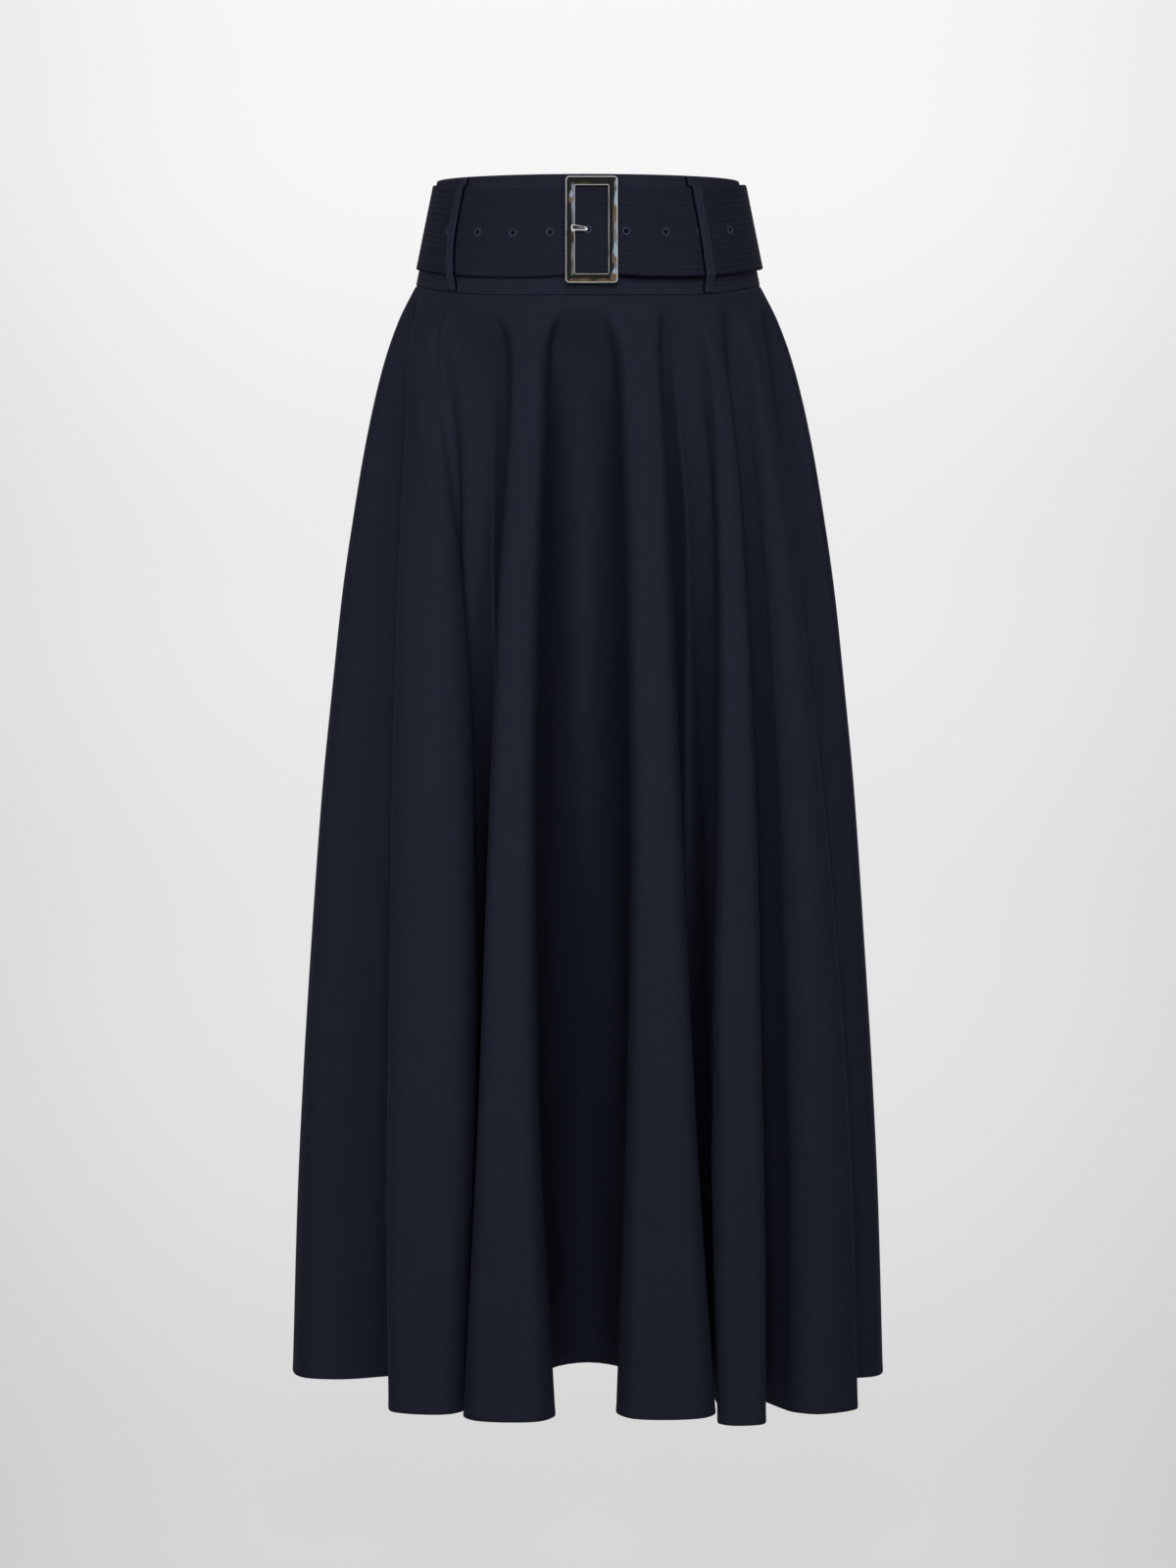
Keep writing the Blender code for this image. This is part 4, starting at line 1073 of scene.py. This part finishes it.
def prong_mesh():
    """The prong's neck, which comes up through an eyelet, and its flat finger."""
    finger = (
        # x, n, half width, half thickness
        (BUCKLE_X - 0.0030, 0.0056, 0.0012, 0.0006), (BUCKLE_X - 0.0031, 0.0070, 0.0012, 0.0008),
        (BUCKLE_X - 0.0033, 0.0086, 0.0013, 0.0009), (BUCKLE_X - 0.0039, 0.0099, 0.0016, 0.0010),
        (BUCKLE_X - 0.0052, 0.0107, 0.0019, 0.0010), (BUCKLE_X - 0.0076, 0.0110, 0.0022, 0.0011),
        (BUCKLE_X - 0.0110, 0.0111, 0.0025, 0.0011), (BUCKLE_X - 0.0146, 0.0111, 0.0028, 0.0011),
        (BUCKLE_X - 0.0156, 0.0110, 0.0027, 0.0009), (BUCKLE_X - 0.0160, 0.0108, 0.0022, 0.0005),
    )
    verts, sides, count = [], 16, len(finger)
    for k, (x, n, wide, thick) in enumerate(finger):
        x0, n0 = finger[max(k - 1, 0)][:2]
        x1, n1 = finger[min(k + 1, count - 1)][:2]
        way = normed(np.array([x1 - x0, n1 - n0]))
        off = np.array([-way[1], way[0]])
        for j in range(sides):
            t = 2 * math.pi * (j + 0.5) / sides
            c, s = math.cos(t), math.sin(t)
            square = 1.0 / max(abs(c), abs(s)) ** 0.55
            dx, dn = off * thick * s * square
            w = PRONG_W + wide * c * square * 0.9 + PRONG_SLOPE * (finger[0][0] - x)
            verts.append(at_buckle(x + dx, w, n + dn))
    return verts, tube_faces(count, sides)


def eye_mesh():
    """Closed band round the centre bar, where the prong turns: its outside, then its inside."""
    verts = []
    for w, grow in (
        (-0.0016, 0.0012), (-0.0013, 0.0014), (0.0013, 0.0014), (0.0016, 0.0012),
        (0.0016, 0.0003), (0.0013, 0.0003), (-0.0013, 0.0003), (-0.0016, 0.0003),
    ):
        verts += bar_ring(w, grow, 20)
    return verts, tube_faces(8, 20, closed=True)


prong = finish_mesh("prong_tongue", *join([prong_mesh(), eye_mesh()]), prong_mat, "metal", sharp=50)
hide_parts("prong")


# ---- belt loops
def loop_path(deg, over):
    """Heights and lifts of a loop's inner face from its top end down."""
    low = float(seam_height(unit(deg)[1]))
    top, bottom = belt_edges(deg, FAR)
    lift = over + 0.0004
    return (
        (BAND_TOP_Z - 0.0010, 0.0004), (top + 0.0024, 0.0006), (top + 0.0014, 0.5 * lift + 0.0003),
        (top + 0.0005, lift), (top - 0.0100, lift + 0.0003), (top - 0.0300, lift + 0.0005),
        (bottom + 0.0220, lift + 0.0005), (bottom + 0.0070, lift + 0.0003), (bottom - 0.0006, lift),
        (bottom - 0.0036, 0.55 * lift + 0.0004), (low + 0.0044, 0.0007), (low + 0.0008, 0.0004),
    )


LOOP_PROFILE = (
    # share across, lift of the outside against its middle (mm)
    (-1.00, -0.50), (-0.98, -0.30), (-0.93, -0.10), (-0.84, 0.04), (-0.73, 0.08), (-0.63, -0.08),
    (-0.55, -0.34), (-0.47, -0.10), (-0.36, 0.08), (-0.18, 0.04), (0.0, -0.06), (0.18, 0.04),
    (0.36, 0.08), (0.47, -0.10), (0.55, -0.34), (0.63, -0.08), (0.73, 0.08), (0.84, 0.04),
    (0.93, -0.10), (0.98, -0.30), (1.00, -0.50),
)
for name, degs, over in LOOPS:
    centre = through(loop_path(degs[1], over), 6)
    top, foot = centre[0][0], centre[-1][0]
    turns = [smooth((top - z) / (top - foot), (0.0, 0.5, 1.0), degs) for z, _ in centre]
    half = math.degrees(LOOP_WIDTH / 2 / LOOP_RADIUS)
    outer, inner, flat = [], [], []
    run, last = 0.0, None
    for deg, (z, lift) in zip(turns, centre):
        here = on_band(deg, z, lift)
        run += 0.0 if last is None else np.linalg.norm(here - last)
        last = here
        outer.append([
            on_band(deg + side * half, z, lift + LOOP + up / 1000) for side, up in LOOP_PROFILE
        ])
        # Its inside lies flat, but for the turned edges that reach down to the belt; their rim faces get a
        # painted shade
        down = max(lift - 0.0005, 0.0001)
        inner.append([
            on_band(deg + side * half * LOOP_FLARE, z, down) if abs(side) == 1
            else on_band(deg + side * half, z, lift)
            for side, _ in LOOP_PROFILE
        ])
        flat.append([(side * LOOP_WIDTH / 2, -run) for side, _ in LOOP_PROFILE])
    grids = (np.array(grid) for grid in (outer, inner, flat))
    # its rim faces get the painted shade of the gap beside the loop
    piece = shell(name + "_cloth", *grids, loop_mat, "band", edge_shade_mat)
    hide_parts(name)
    rows = []
    for t in (-LOOP_GROOVE * half, LOOP_GROOVE * half):
        line = [on_band(deg + t, z, lift + LOOP - 0.0003) for deg, (z, lift) in zip(turns, centre)]
        rows.append((line, [off_band(deg + t, z) for deg, (z, _) in zip(turns, centre)]))
    thread = stitches(name + "_thread", rows, 0.0026, 0.0021, "band")


# ---- stage, light, camera
def soft_floor():
    """A faint pale disc on the floor that fades out into the backdrop."""
    turns = [2 * math.pi * j / 96 for j in range(96)]
    rim = [(FLOOR_RADIUS * math.cos(t), FLOOR_RADIUS * math.sin(t), 0.0) for t in turns]
    mesh = bpy.data.meshes.new("floor")
    mesh.from_pydata(rim, [], [range(len(rim))])
    mat, tree, shader = new_material("floor", {"Base Color": (0.80, 0.80, 0.80, 1), "Roughness": 0.9})
    place = node(tree, "TexCoord").outputs["Object"]
    away = node(tree, "VectorMath", {0: place}, operation="LENGTH").outputs["Value"]
    feed(tree, shader, {"Alpha": remap(tree, away, 0.55, 2.4, 0.10, 0.0)})
    mesh.materials.append(mat)
    floor = bpy.data.objects.new("floor", mesh)
    floor.location.z = FLOOR_Z
    bpy.context.scene.collection.objects.link(floor)


soft_floor()

world = bpy.data.worlds.new("studio")
bpy.context.scene.world = world
world.use_nodes = True
studio = world.node_tree
studio.nodes.clear()
direction = node(studio, "TexCoord").outputs["Generated"]


def toward(way):
    """How squarely a direction of the world points along a way."""
    return node(studio, "VectorMath", {0: direction, 1: way}, operation="DOT_PRODUCT").outputs["Value"]


def ramp(value, stops):
    """Ramp of greys along a value: (place, grey)."""
    made = node(studio, "ValToRGB", {"Fac": value})
    made.color_ramp.interpolation = "EASE"
    while len(made.color_ramp.elements) < len(stops):
        made.color_ramp.elements.new(0.5)
    for element, (place, grey) in zip(made.color_ramp.elements, stops):
        element.position = place
        element.color = (grey, grey, grey, 1)
    return made.outputs["Color"]


# What the camera sees: a backdrop that darkens towards the floor and the sides
parts = node(studio, "SeparateXYZ", {0: direction}).outputs
rise = remap(studio, parts["Z"], -0.30, 0.15, soft=False)
backdrop = ramp(rise, ((0.0, 0.665), (0.22, 0.70), (0.48, 0.79), (0.64, 0.835), (0.86, 0.93), (1.0, 0.95)))
sideways_square = node(studio, "Math", {0: parts["X"], 1: parts["X"]}, operation="MULTIPLY").outputs[0]
dimmed = remap(studio, sideways_square, 0.0, 0.022, 1.0, 0.86)
seen = node(studio, "Background", {"Color": backdrop, "Strength": dimmed})

# What the metal mirrors and what faintly lights the cloth: a pale room, dark behind the camera, with
# a bluish and a brown panel there
mirrored = ramp(remap(studio, toward((0.0, -0.905, 0.425)), -1.0, 1.0, soft=False), (
    (0.0, 0.30), (0.20, 0.70), (0.38, 0.50), (0.55, 0.95), (0.80, 0.75), (0.93, 0.05), (1.0, 0.02),
))
for way, colour in (
    ((0.17, -0.895, 0.41), (0.30, 0.42, 0.55)),
    ((0.10, -0.945, 0.31), (0.16, 0.11, 0.07)),
):
    near = remap(studio, toward(np.array(way) / np.linalg.norm(way)), 0.990, 0.9965)
    mix = node(studio, "Mix", {}, data_type="RGBA")
    feed(studio, mix, {"Factor": near, "A": mirrored, "B": (*colour, 1)})
    mirrored = mix.outputs["Result"]
ray = node(studio, "LightPath").outputs
brightness = remap(studio, ray["Is Glossy Ray"], 0.0, 1.0, 0.07, 1.05, soft=False)
room = node(studio, "Background", {"Color": mirrored, "Strength": brightness})
choose = node(studio, "MixShader", {0: ray["Is Camera Ray"], 1: room.outputs[0], 2: seen.outputs[0]})
node(studio, "OutputWorld", {"Surface": choose.outputs[0]})

# Soft boxes: name, place, point they are aimed at, width and height (m), power (W) and how far
# their grids let the light spread (degrees). The metal doesn't mirror them.
LIGHTS = (
    ("key", (0.0, -2.45, 1.61), (0.0, 0.0, -0.35), 0.6, 1.0, 32, 180),
    ("front", (0.0, -3.13, 0.215), (0.0, 0.0, -0.45), 0.6, 1.4, 24, 180),
    ("side_left", (-1.07, -2.94, 0.215), (-0.20, 0.0, -0.46), 0.6, 1.4, 1.35, 30),
    ("side_right", (1.07, -2.94, 0.215), (0.20, 0.0, -0.44), 0.6, 1.4, 0.90, 30),
    ("back_left", (-1.80, 2.60, 0.80), (0.0, 0.0, -0.40), 1.0, 1.6, 46, 180),
    ("back_right", (1.80, 2.60, 0.80), (0.0, 0.0, -0.40), 1.0, 1.6, 58, 180),
)
for name, place, target, wide, tall, power, spread in LIGHTS:
    data = bpy.data.lights.new(name, "AREA")
    data.shape = "RECTANGLE"
    data.size, data.size_y = wide, tall
    data.energy = power
    data.spread = math.radians(spread)
    light = bpy.data.objects.new(name, data)
    light.location = place
    light.rotation_euler = (Vector(target) - Vector(place)).to_track_quat("-Z", "Y").to_euler()
    light.visible_glossy = False
    bpy.context.scene.collection.objects.link(light)

camera_data = bpy.data.cameras.new("camera")
camera_data.sensor_width = 36
camera_data.lens = CAMERA_LENS
camera_data.clip_start, camera_data.clip_end = 0.1, 100
camera = bpy.data.objects.new("camera", camera_data)
camera.location = CAMERA_PLACE
camera.rotation_euler = (math.radians(90 - CAMERA_DOWN), 0, 0)
bpy.context.scene.collection.objects.link(camera)
bpy.context.scene.camera = camera
bpy.context.scene.view_settings.view_transform = "Standard"
